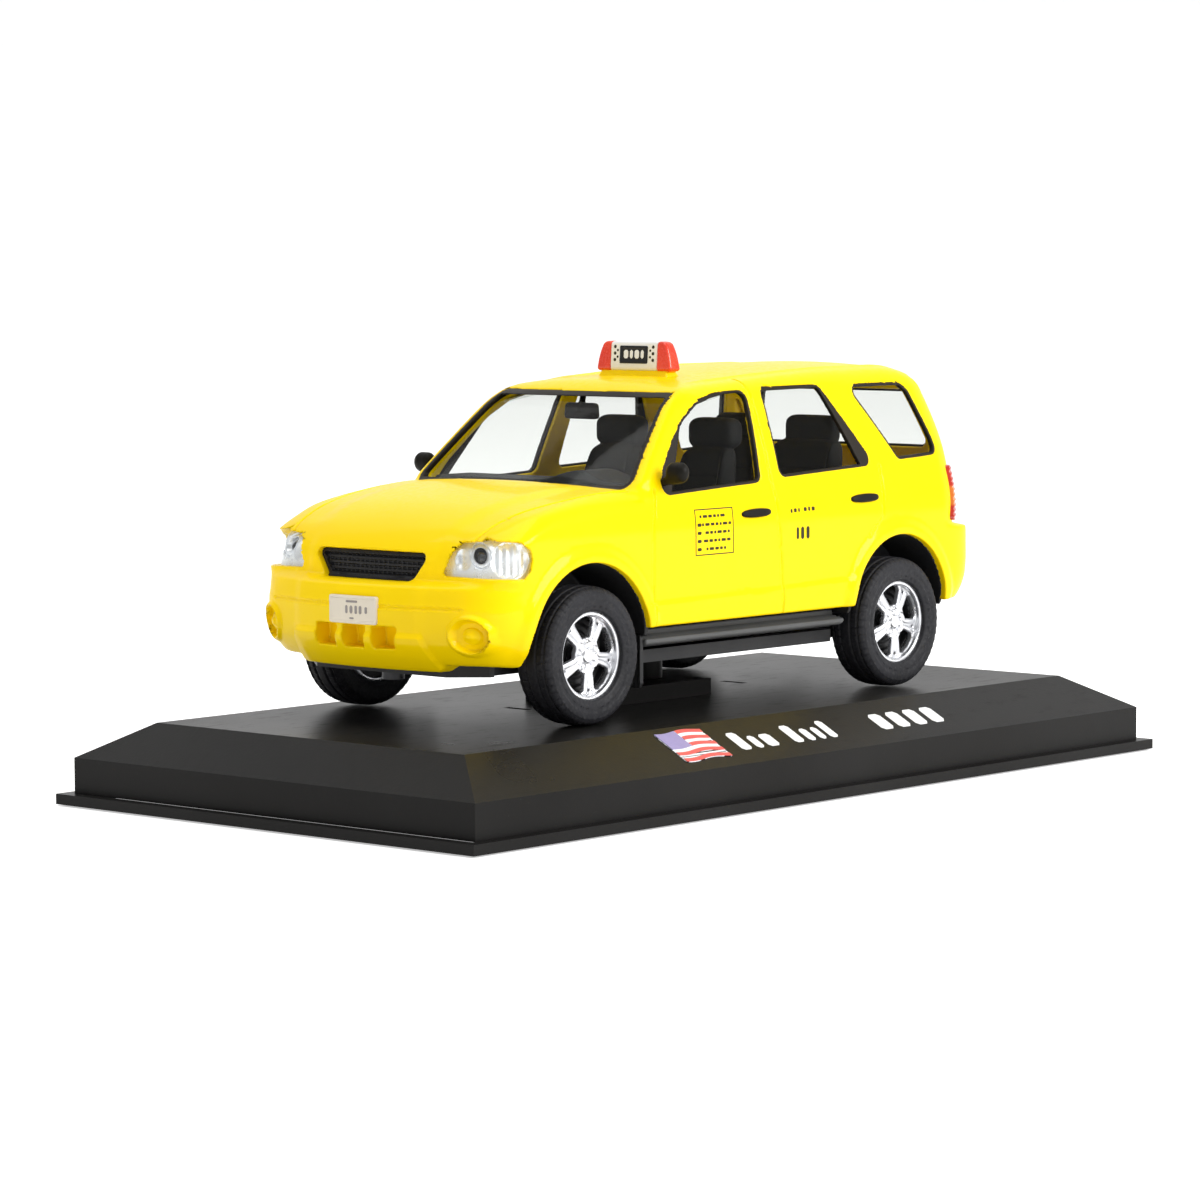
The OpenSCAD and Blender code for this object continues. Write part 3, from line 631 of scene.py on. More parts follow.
def plastic(name, colour, roughness=0.45, grain=2600, depth=1.2e-5, variation=0.12, specular=0.5, glow=0.0):
    """Moulded or painted: a fine skin texture, slightly uneven in colour and gloss."""
    m = Nodes(name)
    broad = m.noise(120, 3)
    fine = m.noise(grain, 3, 0.6)
    base = m.blend(broad, shade(colour, 1 - variation), shade(colour, 1 + variation * 0.5))
    base = m.mix(m.spread(fine, 0.35, 0.75, 0, 0.5), base, shade(colour, 1 - variation))
    gloss = m.spread(broad, 0.3, 0.7, roughness * 0.88, roughness * 1.14)
    return m.principled(
        Base_Color=base, Roughness=gloss, Normal=m.bump(fine, depth), Specular_IOR_Level=specular,
        Emission_Color=rgba(1, 1, 1), Emission_Strength=glow,
    )


def enamel(name, colour, deep, roughness, coat, specular):
    """Sprayed enamel on cast metal: thinner and darker in places, with orange peel and dust specks."""
    m = Nodes(name)
    broad = m.noise(45, 2)
    peel = m.noise(1500, 2, 0.45)
    specks = m.noise(5200, 1)
    base = m.mix(m.spread(broad, 0.35, 0.65), colour, deep)
    base = m.mix(m.spread(specks, 0.74, 0.78, 0, 0.35), base, shade(deep, 0.75))
    gloss = m.spread(peel, 0.3, 0.7, roughness * 0.85, roughness * 1.2)
    return m.principled(
        Base_Color=base, Roughness=gloss, Normal=m.bump(peel, 1.1e-5), Coat_Weight=coat, Coat_Roughness=0.06,
        Specular_IOR_Level=specular,
    )


def metal(name, colour, roughness=0.18, scratches=0.5, metallic=1.0):
    """Vacuum plated or turned metal, with faint hairlines and cloudy patches."""
    m = Nodes(name)
    cloud = m.noise(260, 3)
    hair = m.noise(900, 2, 0.6, (1, 6, 1))
    base = m.blend(cloud, colour, shade(colour, 0.84))
    lines = m.spread(hair, 0.5, 0.8, 0, 0.1 * scratches)
    gloss = m.maths("ADD", m.spread(cloud, 0.3, 0.7, roughness * 0.7, roughness * 1.3), lines)
    normal = m.bump(hair, 4e-6 * scratches)
    return m.principled(Base_Color=base, Roughness=gloss, Metallic=metallic, Normal=normal)


def clear(name, tint, haze=0.03, shine_by=0.85):
    """Thin clear plastic: the view through it, and reflections that grow at a glancing angle."""
    m = Nodes(name)
    normal = m.bump(m.noise(180, 2), 2.5e-5)
    see = m.add("ShaderNodeBsdfTransparent", {"Color": tint})
    smear = m.spread(m.noise(420, 4, 0.65), 0.4, 0.8, haze, haze * 3)
    shine = m.add("ShaderNodeBsdfGlossy", {"Color": rgba(1, 1, 1), "Roughness": smear, "Normal": normal})
    facing = m.add("ShaderNodeLayerWeight", {"Blend": 0.5, "Normal": normal}).outputs["Facing"]
    amount = m.maths("MULTIPLY", m.spread(m.maths("POWER", facing, 4.0), 0, 1, 0.04, 1.0), shine_by)
    mixed = m.add("ShaderNodeMixShader", {0: amount, 1: see.outputs[0], 2: shine.outputs[0]})
    m.tree.links.new(mixed.outputs[0], m.out.inputs[0])
    return m.material


PAINT = enamel("taxi_yellow", rgba(1.0, 0.71, 0.001), rgba(0.98, 0.67, 0.0), 0.36, 0.2, 0.04)
GLASS = clear("clear_glazing", rgba(0.95, 0.957, 0.948), shine_by=0.2)
BLACK_TRIM = plastic("black_trim", rgba(0.009, 0.008, 0.006), 0.45, specular=0.12)
SEAL = plastic("window_seal", rgba(0.014, 0.01, 0.006), 0.5, specular=0.2)
LENS = clear("clear_lens", rgba(0.985, 0.99, 0.99), 0.02, 0.6)
CHROME = metal("lamp_chrome", rgba(0.9, 0.91, 0.93), 0.13)
LAMP_SILVER = metal("lamp_silver", rgba(0.93, 0.96, 1.0), 0.3, 0.3, 0.5)
RIM_CHROME = metal("rim_chrome", rgba(0.86, 0.87, 0.9), 0.28, 0.5, 0.88)
STEEL = metal("plated_steel", rgba(0.62, 0.62, 0.6), 0.3, 1.0)
BLACK_STEEL = metal("blackened_steel", rgba(0.045, 0.045, 0.048), 0.42, 1.0, 0.6)
SMOKED = plastic("smoked_glass", rgba(0.02, 0.022, 0.025), 0.12, specular=0.7)
GRILLE_BLACK = plastic("grille_black", rgba(0.012, 0.012, 0.014), 0.38, specular=0.3)
CHASSIS_PLASTIC = plastic("chassis_plastic", rgba(0.014, 0.014, 0.015), 0.5, 1400, 2e-5, specular=0.35)
STEP_PLASTIC = plastic("step_plastic", rgba(0.085, 0.087, 0.087), 0.42, 1400, 2e-5, specular=0.4)
SEAT = plastic("seat_plastic", rgba(0.012, 0.012, 0.013), 0.62, 900, 4e-5, specular=0.16)
DASH = plastic("dash_plastic", rgba(0.018, 0.019, 0.021), 0.6, 1100, 3e-5, specular=0.2)


def tyre_rubber():
    """Black rubber, a little greyer and duller in places."""
    m = Nodes("tyre_rubber")
    broad = m.noise(160, 3)
    fine = m.noise(2600, 3, 0.6)
    base = m.blend(broad, rgba(0.012, 0.012, 0.014), rgba(0.024, 0.024, 0.028))
    base = m.mix(m.spread(fine, 0.45, 0.8, 0, 0.5), base, rgba(0.05, 0.05, 0.052))
    gloss = m.spread(broad, 0.3, 0.7, 0.42, 0.58)
    return m.principled(Base_Color=base, Roughness=gloss, Normal=m.bump(fine, 2e-5), Specular_IOR_Level=0.17)


def plinth_plastic():
    """Satin black styrene with a fine texture, faint handling marks and a few dust specks."""
    m = Nodes("plinth_plastic")
    fine = m.noise(3200, 3, 0.6)
    broad = m.noise(26, 3)
    rubs = m.noise(210, 4, 0.7, (1, 3.5, 1))
    base = m.blend(broad, rgba(0.011, 0.0105, 0.010), rgba(0.018, 0.0175, 0.017))
    base = m.mix(m.spread(fine, 0.72, 0.8, 0, 0.5), base, rgba(0.06, 0.06, 0.06))
    gloss = m.maths("ADD", m.spread(broad, 0.3, 0.7, 0.27, 0.34), m.spread(rubs, 0.55, 0.8, 0, 0.12))
    normal = m.bump(fine, 1.1e-5)
    return m.principled(Base_Color=base, Roughness=gloss, Normal=normal, Specular_IOR_Level=0.06)


def tail_lens():
    """Red lens with an amber band across its middle and moulded flutes."""
    m = Nodes("tail_lens")
    height = m.add("ShaderNodeSeparateXYZ", {"Vector": m.place}).outputs[2]
    band = m.maths("MULTIPLY", m.spread(height, 0.0333, 0.0337), m.spread(height, 0.0362, 0.0358))
    wave_inputs = {"Vector": m.place, "Scale": 420.0, "Distortion": 0.4}
    flutes = m.add("ShaderNodeTexWave", wave_inputs, bands_direction="Z").outputs["Fac"]
    broad = m.noise(300, 3)
    red = m.blend(broad, rgba(0.36, 0.012, 0.006), rgba(0.5, 0.03, 0.008))
    amber = m.blend(broad, rgba(0.55, 0.13, 0.012), rgba(0.65, 0.18, 0.02))
    return m.principled(
        Base_Color=m.mix(band, red, amber), Roughness=m.spread(broad, 0.3, 0.7, 0.1, 0.2),
        Normal=m.bump(flutes, 3e-5), Coat_Weight=0.6,
    )


def sign_red():
    """The roof sign's end caps: glossy red moulding, slightly uneven in colour."""
    m = Nodes("sign_red")
    broad = m.noise(350, 3)
    fine = m.noise(2400, 2)
    base = m.blend(broad, rgba(0.72, 0.03, 0.012), rgba(0.85, 0.07, 0.02))
    gloss = m.spread(fine, 0.3, 0.7, 0.2, 0.32)
    return m.principled(Base_Color=base, Roughness=gloss, Normal=m.bump(fine, 1e-5), Coat_Weight=0.4)


RUBBER = tyre_rubber()
PLINTH = plinth_plastic()
TAIL_LENS = tail_lens()
SIGN_RED = sign_red()
SIGN_WHITE = plastic("sign_white", rgba(0.86, 0.86, 0.84), 0.35, variation=0.04)
PLATE = plastic("plate_cream", rgba(0.80, 0.72, 0.58), 0.4, variation=0.05)
INK = plastic("printed_black", rgba(0.03, 0.026, 0.01), 0.5, specular=0.2)
INK_WHITE = plastic("printed_white", rgba(0.82, 0.84, 0.86), 0.45, variation=0.05)
INK_RED = plastic("printed_red", rgba(0.7, 0.1, 0.1), 0.42, variation=0.08)
INK_VIOLET = plastic("printed_violet", rgba(0.3, 0.26, 0.5), 0.42, variation=0.12)
INK_GREY = plastic("printed_grey", rgba(0.30, 0.27, 0.25), 0.5)

# ---------------------------------------------------------------- helpers for the pieces


def finish(obj, body_name, slot, *nodes):
    """Gives a piece its body and hides the CAD nodes that it takes the place of; slot is not used."""
    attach(obj, body_name)
    if nodes:
        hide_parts(*nodes)
    return obj


def placed(name, mesh, material, dx=0.0, mirror=False):
    """A copy of a mesh moved along the car, and mirrored to its other side if asked."""
    verts, tris, normals = (np.array(part) for part in mesh)
    verts[0] += dx
    if mirror:
        verts[1] *= -1
        normals[1] *= -1
        tris = tris[:, ::-1]
    return new_object(name, verts, tris, material, normals)


def piece(name, mesh, material, slot, *nodes):
    """One piece that belongs to the root body."""
    return finish(placed(name, mesh, material), "root", slot, *nodes)


def pair(name, mesh, material, slot, node=None, body_name="root", dx=0.0):
    """The same piece on the left and, mirrored, on the right."""
    for side, mirror in (("left", False), ("right", True)):
        nodes = [f"{node}_{side}"] if node else []
        finish(placed(f"{name}_{side}", mesh, material, dx, mirror), body_name, slot, *nodes)


def skin(p):
    """The body's plain outer surface, as a solid of its own."""
    return outer(p[0], np.abs(p[1]), p[2])


def layer(o, depth, half):
    """A sheet of the given half thickness whose middle lies a little way under the body's surface."""
    return np.abs(o + depth) - half


def moved_to_skin(start, way, proud):
    """Moves points along one outward direction until they stand out from the body's skin by proud."""
    p = np.array(start, float)
    way = np.array(way, float)[:, None]
    for _ in range(10):
        f = skin(p)
        slope = (skin(p + 0.02 * way) - f) / 0.02
        p = p - way * np.clip((f - proud) / np.maximum(slope, 0.3), -1.5, 1.5)
    return p


def on_side(side):
    """Lays flat coordinates x and z on the body's left (-1) or right (1) side."""
    def place(x, z, out):
        return moved_to_skin([x, np.full(np.shape(x), side * 20.0), z], (0, side, 0), out)

    return place


def bar(u0, v0, u1, v1, corner=0.0):
    """A rectangle, with its corners cut off if asked."""
    c = min(corner, abs(u1 - u0) / 2.01, abs(v1 - v0) / 2.01)
    if c <= 0:
        return [(u0, v0), (u1, v0), (u1, v1), (u0, v1)]
    left, right, low, high = u0 + c, u1 - c, v0 + c, v1 - c
    return [(left, v0), (right, v0), (u1, low), (u1, high), (right, v1), (left, v1), (u0, high), (u0, low)]


def rounded(points, radius, grow=0.0):
    """A closed outline made a little larger, with its corners as arcs of short pieces."""
    pts = np.array(points, float)
    turn = np.sign(np.sum(pts[:, 0] * np.roll(pts[:, 1], -1) - np.roll(pts[:, 0], -1) * pts[:, 1]))
    out = []
    for a, b, c, core in zip(np.roll(pts, 1, axis=0), pts, np.roll(pts, -1, axis=0), inset(points, radius)):
        first = math.atan2(-(b - a)[0] * turn, (b - a)[1] * turn)
        last = math.atan2(-(c - b)[0] * turn, (c - b)[1] * turn)
        sweep = (last - first + math.pi) % (2 * math.pi) - math.pi
        parts = max(1, math.ceil(abs(sweep) / 0.3))
        for i in range(parts + 1):
            t = first + sweep * i / parts
            out.append(core + (radius + grow) * np.array([math.cos(t), math.sin(t)]))
    return out


def sheet(shapes, to_surface, over, under, finest):
    """A thin closed sheet between two depths of a surface, from closed outlines in flat coordinates."""
    mesh = bmesh.new()
    for points in shapes:
        mesh.faces.new([mesh.verts.new((u, v, 0)) for u, v in points])
    bmesh.ops.triangulate(mesh, faces=mesh.faces[:])
    for _ in range(5):
        long_edges = [e for e in mesh.edges if e.calc_length() > finest]
        if not long_edges:
            break
        bmesh.ops.subdivide_edges(mesh, edges=long_edges, cuts=1)
        bmesh.ops.triangulate(mesh, faces=mesh.faces[:])
    flat = np.array([v.co[:2] for v in mesh.verts])
    mesh.verts.index_update()
    tris = np.array([[v.index for v in f.verts] for f in mesh.faces])
    mesh.free()
    top = to_surface(flat[:, 0], flat[:, 1], over)
    low = to_surface(flat[:, 0], flat[:, 1], under)
    n = len(flat)
    directed = {(a, b) for t in tris for a, b in ((t[0], t[1]), (t[1], t[2]), (t[2], t[0]))}
    rim_edges = [(a, b) for a, b in directed if (b, a) not in directed]
    sides = sorted([f for a, b in rim_edges for f in ((b, a, a + n), (b, a + n, b + n))])
    faces = np.concatenate([tris, tris[:, ::-1] + n, np.array(sides)])
    verts = np.concatenate([top, low], axis=1)
    p = verts.T[faces[: len(tris)]]
    turned = np.cross(p[:, 1] - p[:, 0], p[:, 2] - p[:, 0])
    if (turned * (top - low).T[tris[:, 0]]).sum() < 0:
        faces = faces[:, ::-1]
    return verts, faces, n


def pane(shapes, to_surface, over=-0.52, under=-1.04, finest=1.4):
    """Clear moulding that follows the body's skin, with the skin's own normals."""
    verts, faces, n = sheet(shapes, to_surface, over, under, finest)
    normals = unit(gradient(skin, verts))
    normals[:, n:] *= -1
    return verts, faces, normals


# ---------------------------------------------------------------- the body

body_mesh = meshed(
    body, (-49.6, -22.2, 16.6), (52.4, 22.2, 53.8), 0.64,
    plain=body_plain, finest=0.3, turn=0.3, rounds=2, also=near_grooves,
)
piece("body_casting", body_mesh, PAINT, "body_paint", "body_shell")

# ---------------------------------------------------------------- glass and its seals


def side_seal(p):
    d = np.minimum.reduce([outline(p[0], p[2], w, SIDE_ROUND) for w in SIDE_WINDOWS])
    corner = p[0] + 13.9 - 0.62 * (p[2] - 37.2)
    ring = np.abs(d + 0.02) - 0.27
    quarter_light = np.maximum(d, corner - 1.6)
    # The rear door's rear edge is a wider black frame
    rear_door = outline(p[0], p[2], REAR_WINDOW, SIDE_ROUND)
    wide_edge = np.maximum(rear_door, 26.6 - 0.448 * (p[2] - 39.4) - p[0])
    return smax(np.minimum(np.minimum(ring, quarter_light), wide_edge), layer(skin(p), 0.42, 0.34), 0.12)


def screen_seal(p):
    area = np.maximum(outline(p[1], p[2], SCREEN_WINDOW, SCREEN_ROUND), p[0] + 2)
    return smax(np.abs(area + 0.12) - 0.34, layer(skin(p), 0.4, 0.36), 0.12)


def tail_seal(p):
    area = np.maximum(outline(p[1], p[2], TAIL_WINDOW, TAIL_ROUND), 40 - p[0])
    return smax(np.abs(area + 0.05) - 0.27, layer(skin(p), 0.42, 0.34), 0.12)


def on_screen(h, z, out):
    return moved_to_skin([-20.6 + 1.25 * (z - 38), h, z], (-1, 0, 0), out)


def on_tailgate(h, z, out):
    return moved_to_skin([np.full(np.shape(h), 46.5), h, z], (1, 0, 0), out)


side_pane = pane([rounded(w, SIDE_ROUND, 0.35) for w in SIDE_WINDOWS], on_side(-1))
side_trim = meshed(side_seal, (-15.6, -21.6, 36.2), (44, -11.5, 51), 0.3)
pair("side_glass", side_pane, GLASS, "clear_glazing", "side_glazing")
pair("side_seals", side_trim, SEAL, "black_trim")
screen_pane = pane([rounded(SCREEN_WINDOW, SCREEN_ROUND, 0.3)], on_screen)
screen_trim = meshed(screen_seal, (-24, -19.8, 37.2), (-2, 19.8, 51), 0.3)
piece("windscreen_glass", screen_pane, GLASS, "clear_glazing", "windscreen")
piece("windscreen_seal", screen_trim, SEAL, "black_trim")
tail_pane = pane([rounded(TAIL_WINDOW, TAIL_ROUND, 0.35)], on_tailgate)
tail_trim = meshed(tail_seal, (42, -16.6, 40), (49, 16.6, 50.4), 0.3)
piece("tailgate_pane", tail_pane, GLASS, "clear_glazing", "tailgate_glass")
piece("tailgate_seal", tail_trim, SEAL, "black_trim")

# ---------------------------------------------------------------- lamps, grille, plates


def lamp_uv(p):
    return np.abs(p[1]) + p[0] + LAMP_SHIFT, p[2]


def on_lamp(u, z, out):
    start = [np.full(np.shape(u), -41.0), LAMP_SHIFT - 41.0 - u, z]
    return moved_to_skin(start, (-math.sqrt(0.5), -math.sqrt(0.5), 0), out)


def dish(u, z, centre, half):
    """1 in the middle of an oval, falling to 0 at its edge."""
    return np.clip(1 - (((u - centre[0]) / half[0]) ** 2 + ((z - centre[1]) / half[1]) ** 2), 0, 1)


def lamp_bowl(p):
    """The silver reflector: three dishes, the widest one fluted."""
    u, z = lamp_uv(p)
    o = skin(p)
    area = np.where((p[0] < -35) & (p[0] > -48), outline(u, z, LAMP_OUTLINE, LAMP_ROUND), FAR)
    big = dish(u, z, LAMP_WIDE, (3.3, 2.2))
    small = dish(u, z, LAMP_EYE, (1.7, 1.6))
    side_lamp = dish(u, z, (15.6, 30.9), (1.3, 1.3))
    flutes = 0.05 * np.cos((u - LAMP_WIDE[0]) * 5.2) * step(0.02, 0.3, big)
    front = o + 0.95 + 0.55 * np.sqrt(big) + 1.2 * small + 0.6 * side_lamp + flutes
    return smax(smax(area - 0.4, front, 0.15), -(o + 3.5), 0.2)


def from_eye(p):
    u, z = lamp_uv(p)
    return np.hypot((u - LAMP_EYE[0]) * 0.8, z - LAMP_EYE[1])


def lamp_bulb(p):
    r, o = from_eye(p), skin(p)
    dome = o + 1.35 + 0.42 * r * r
    return smax(smax(r - 1.02, dome, 0.15), -(o + 2.8), 0.1)


def lamp_ring(p):
    return smax(np.abs(from_eye(p) - 1.16) - 0.2, layer(skin(p), 1.5, 0.42), 0.15)


lamp_box = ((-47.2, -21.8, 28), (-36, -8.6, 34.2))
lens = pane([rounded(LAMP_OUTLINE, LAMP_ROUND, 0.12)], on_lamp, -0.06, -0.5, 0.7)
pair("headlamp_glass", lens, LENS, "clear_lens", "headlamp_lens")
pair("headlamp_bowl", meshed(lamp_bowl, *lamp_box, 0.26), LAMP_SILVER, "lamp_chrome", "headlamp_reflector")
pair("headlamp_bulb", meshed(lamp_bulb, *lamp_box, 0.2), SMOKED, "black_trim")
pair("headlamp_ring", meshed(lamp_ring, *lamp_box, 0.2), LAMP_SILVER, "lamp_chrome")


def fog_lamp(p):
    r = np.hypot(np.abs(p[1]) - FOG[0], p[2] - FOG[1])
    o = skin(p)
    crown = o + 0.3 + 0.28 * step(0.9, 1.15, r) - 0.3 * step(0.9, 0.2, r)
    return smax(smax(r - 1.62, crown, 0.12), -(o + 2.2), 0.1)


fog_mesh = meshed(fog_lamp, (-47.5, -18.9, 20.2), (-41, -14.5, 24.6), 0.22)
pair("fog", fog_mesh, PAINT, "body_paint", "fog_lamp")


def grille(p):
    """A fine mesh of bars and posts inside a plain frame."""
    y, z = p[1], p[2]
    d = outline(y, z, GRILLE, 0.7)
    o = skin(p)
    frame_part = 0.55 * step(-0.75, -0.5, d)
    bars = 0.26 * step(0.16, 0.06, np.abs(((z - 28.2) % 0.68) - 0.34) - 0.08)
    posts = 0.2 * step(0.17, 0.07, np.abs(((y + 0.39) % 0.78) - 0.39))
    front = o + 1.15 - frame_part - np.maximum(bars, posts) * (d < -0.5)
    return smax(smax(d + 0.03, front, 0.08), -(o + 2.6), 0.1)


grille_mesh = meshed(grille, (-47.2, -10.6, 27.6), (-42, 10.6, 32.4), 0.2, finest=0.1)
piece("grille_mesh", grille_mesh, GRILLE_BLACK, "black_trim", "grille_insert")

# The tail lamps, in x - h and z
TAIL_LAMP = [(23.6, 31.5), (30.6, 31.5), (30.2, 38.8), (25.4, 38.8)]


def tail_lamp(p):
    d = outline(p[0] - np.abs(p[1]), p[2], TAIL_LAMP, 0.5)
    d = np.where(p[0] > 41, d, FAR)
    ribs = 0.05 * np.cos(p[2] * 9)
    return smax(d, layer(skin(p), 0.0, 0.4 + ribs), 0.15)


tail_lamp_mesh = meshed(tail_lamp, (42, -21.6, 30.6), (49.5, -14, 39.6), 0.26)
pair("tail_lens", tail_lamp_mesh, TAIL_LENS, "red_lens", "tail_lamp")

# Number plates: how far each face bows with the square of y, and the front one's step to the right
FRONT_BOW, REAR_BOW = 0.0095, -0.003
PLATE_SHIFT = 0.4
FRONT_FACE = node_box("front_plate")[0][0]
REAR_FACE = node_box("rear_plate")[1][0]


def plate_solid(x_face, z_mid, half_y, half_z, out, p):
    """A thin plate with a raised rim."""
    x, y, z = p
    bow = (FRONT_BOW if out < 0 else REAR_BOW) * y * y
    q = outline(y, z, bar(-half_y, z_mid - half_z, half_y, z_mid + half_z), 0.35)
    front = out * (x - x_face - bow) - 0.1 * step(-0.42, -0.3, q)
    return smax(smax(q, front, 0.06), -out * (x - x_face - bow) - 0.5, 0.06)


def front_plate(p):
    return plate_solid(FRONT_FACE + 0.05, 24.6, 4.0, 1.7, -1, (p[0], p[1] + PLATE_SHIFT, p[2]))


def rear_plate(p):
    return plate_solid(REAR_FACE - 0.05, 34.15, 4.15, 1.75, 1, p)


front_plate_mesh = meshed(front_plate, (-49.3, -4.8, 22.4), (-47.2, 4.8, 26.9), 0.2)
piece("front_number_plate", front_plate_mesh, PLATE, "plate_print", "front_plate")
rear_plate_mesh = meshed(rear_plate, (47.2, -4.8, 31.9), (49, 4.8, 36.4), 0.2)
piece("rear_number_plate", rear_plate_mesh, PLATE, "plate_print", "rear_plate")

# ---------------------------------------------------------------- mirrors, handles, boards


# The left door mirror's middle in x, h and z, and the plane of its glass
MIRROR = (-12.9, 21.6, 40.3)
MIRROR_GLASS_X = -12.25


def mirror_pod(p):
    """A rounded pod, flat behind, on a stalk from the corner of the window."""
    x, h, z = p[0], -p[1], p[2]
    across = np.maximum(np.abs(h - MIRROR[1]) - 0.5, 0)
    pod = np.sqrt(((x - MIRROR[0]) / 1.05) ** 2 + (across / 1.1) ** 2 + ((z - MIRROR[2]) / 1.3) ** 2)
    pod = smax((pod - 1) * 1.05, x - MIRROR_GLASS_X, 0.2)
    above = np.maximum(np.abs(z - 39.3 - 0.25 * (h - 20.4)) - 0.12, 0)
    stalk = np.sqrt((x + 13.2) ** 2 + above**2) - 0.42
    stalk = smax(stalk, np.abs(h - 20.2) - 1.6, 0.2)
    return smin(pod, stalk, 0.5)


def mirror_face(p):
    x, h, z = p[0], -p[1], p[2]
    across = np.maximum(np.abs(h - MIRROR[1]) - 0.35, 0)
    r = np.sqrt((across / 0.82) ** 2 + ((z - MIRROR[2]) / 0.95) ** 2) - 1
    return smax(r * 0.8, np.abs(x - MIRROR_GLASS_X) - 0.1, 0.04)


pod_mesh = meshed(mirror_pod, (-14.6, -25, 38.2), (-11.4, -18, 42.2), 0.2)
face_mesh = meshed(mirror_face, (-12.6, -24.6, 39), (-11.9, -20.2, 41.6), 0.12)
pair("door_mirror", pod_mesh, BLACK_TRIM, "black_trim", "mirror")
pair("door_mirror_face", face_mesh, CHROME, "lamp_chrome")


def door_handle(p):
    """Both pull handles of one side: long ovals, hollow below."""
    x, z, o = p[0], p[2], skin(p)
    best = np.full(np.shape(x), FAR)
    for cx, cz in ((3.4, 34.5), (25.8, 35.35)):
        along = (x - cx) / 2.95
        half = 0.56 * np.sqrt(np.clip(1 - along**2, 0.02, 1)) ** 0.8
        d = np.abs(z - cz - 0.02 * (x - cx)) - half
        d = np.maximum(d, np.abs(x - cx) - 2.9)
        lift = 0.42 * np.clip(1 - along**4, 0, 1) * step(-0.55, 0.1, z - cz + 0.35)
        best = np.minimum(best, smax(d, o - 0.1 - lift, 0.2))
    return smax(best, -(o + 0.4), 0.1)


handle_mesh = meshed(door_handle, (-0.6, -21.8, 33.2), (29.6, -19.2, 36.6), 0.2)
pair("door_pulls", handle_mesh, BLACK_TRIM, "black_trim", "door_handles")


def running_board(p):
    """A ribbed step below the sill, with a panel that closes the gap to the body."""
    x, h, z = p[0], -p[1], p[2]
    ends = np.abs(x - 2.65) - 19.75 + 0.55 * np.abs(np.minimum(z - 19.6, 0)) * (x > 0)
    deck = smax(np.abs(h - 18.7) - 1.3, z - 19.9 - 0.22 * step(19.6, 18.4, h), 0.35)
    deck = smax(deck, 18.6 - z + 0.18 * (h - 17.4), 0.5)
    ribs = 0.07 * np.cos((h - 17.4) * 8.4) * step(19.2, 19.6, z) * (h < 19.6)
    panel = smax(np.abs(h - 17.5) - 0.5, z - 20.9, 0.2)
    panel = smax(panel, 18.9 - z, 0.2)
    return smax(smin(deck + ribs, panel, 0.4), ends, 0.35)


board_mesh = meshed(running_board, (-17.6, -20.4, 17.3), (23, -16.9, 21.3), 0.3, finest=0.12)
pair("side_step", board_mesh, STEP_PLASTIC, "chassis_plastic", "running_board")

# The mud flap's outline in h and z
MUD_FLAP = [(15.7, 20.4), (15.7, 14.4), (16.2, 13.8), (19.3, 13.8), (19.6, 14.4), (19.6, 20.4)]


def mud_flap(p):
    x, h, z = p[0], -p[1], p[2]
    q = outline(h, z, MUD_FLAP, 0.3)
    ribs = 0.07 * np.cos((h - 15.7) * 6.4) * (z < 18.6)
    return smax(q, np.abs(x + 17.45) - 0.3 - ribs, 0.1)


flap_mesh = meshed(mud_flap, (-18.2, -20, 13.4), (-16.7, -15.2, 20.8), 0.2)
piece("flap_left", flap_mesh, CHASSIS_PLASTIC, "chassis_plastic", "mud_flaps")
finish(placed("flap_right", flap_mesh, CHASSIS_PLASTIC, mirror=True), "root", "chassis_plastic")


def arch_liner(p):
    """The dark tubes inside both wheel arches of one side, with a wall on the inner side."""
    x, h, z, o = p[0], -p[1], p[2], skin(p)
    best = np.full(np.shape(x), FAR)
    for arch in (FRONT_ARCH, REAR_ARCH):
        d = arch_distance(x, z, arch)
        tube = np.maximum(np.abs(d - 0.15) - 0.3, 11.6 - h)
        wall = np.maximum(d - 0.4, np.abs(h - 11.8) - 0.3)
        best = np.minimum(best, smax(smin(tube, wall, 0.4), np.abs(x - arch[0]) - arch[2] - 0.4, 0.1))
    return smax(smax(best, o + 0.75, 0.1), 20.3 - z, 0.1)


liner_mesh = meshed(arch_liner, (-41, -21, 19.6), (46, -10.9, 32), 0.42)
pair("arch_liners", liner_mesh, CHASSIS_PLASTIC, "chassis_plastic")

# ---------------------------------------------------------------- wheels

rim_low, rim_high = node_box("front_rim_left")
RIM_HUB = CAR_Y - (rim_low[1] + rim_high[1]) / 2
RIM_HALF = (rim_high[1] - rim_low[1]) / 2
TYRE_BORE = 5.42
LUGS = 52
SPOKES = 5
# One opening between two spokes, in the wheel's plane, with its middle along the first axis
RIM_WINDOW = [(2.2, -0.7), (4.0, -1.7), (4.55, -1.35), (4.75, 0), (4.55, 1.35), (4.0, 1.7), (2.2, 0.7)]


def wheel_polar(p, middle):
    """Radius and angle round the front axle, and the distance outward from the wheel's middle."""
    dx, dz = p[0] - FRONT_X, p[2] - AXLE_Z
    return np.hypot(dx, dz), np.arctan2(dz, dx), -p[1] - middle


def half_width(r):
    return TYRE_W / 2 - 0.02 - 0.1 * (r - 7.1) ** 2


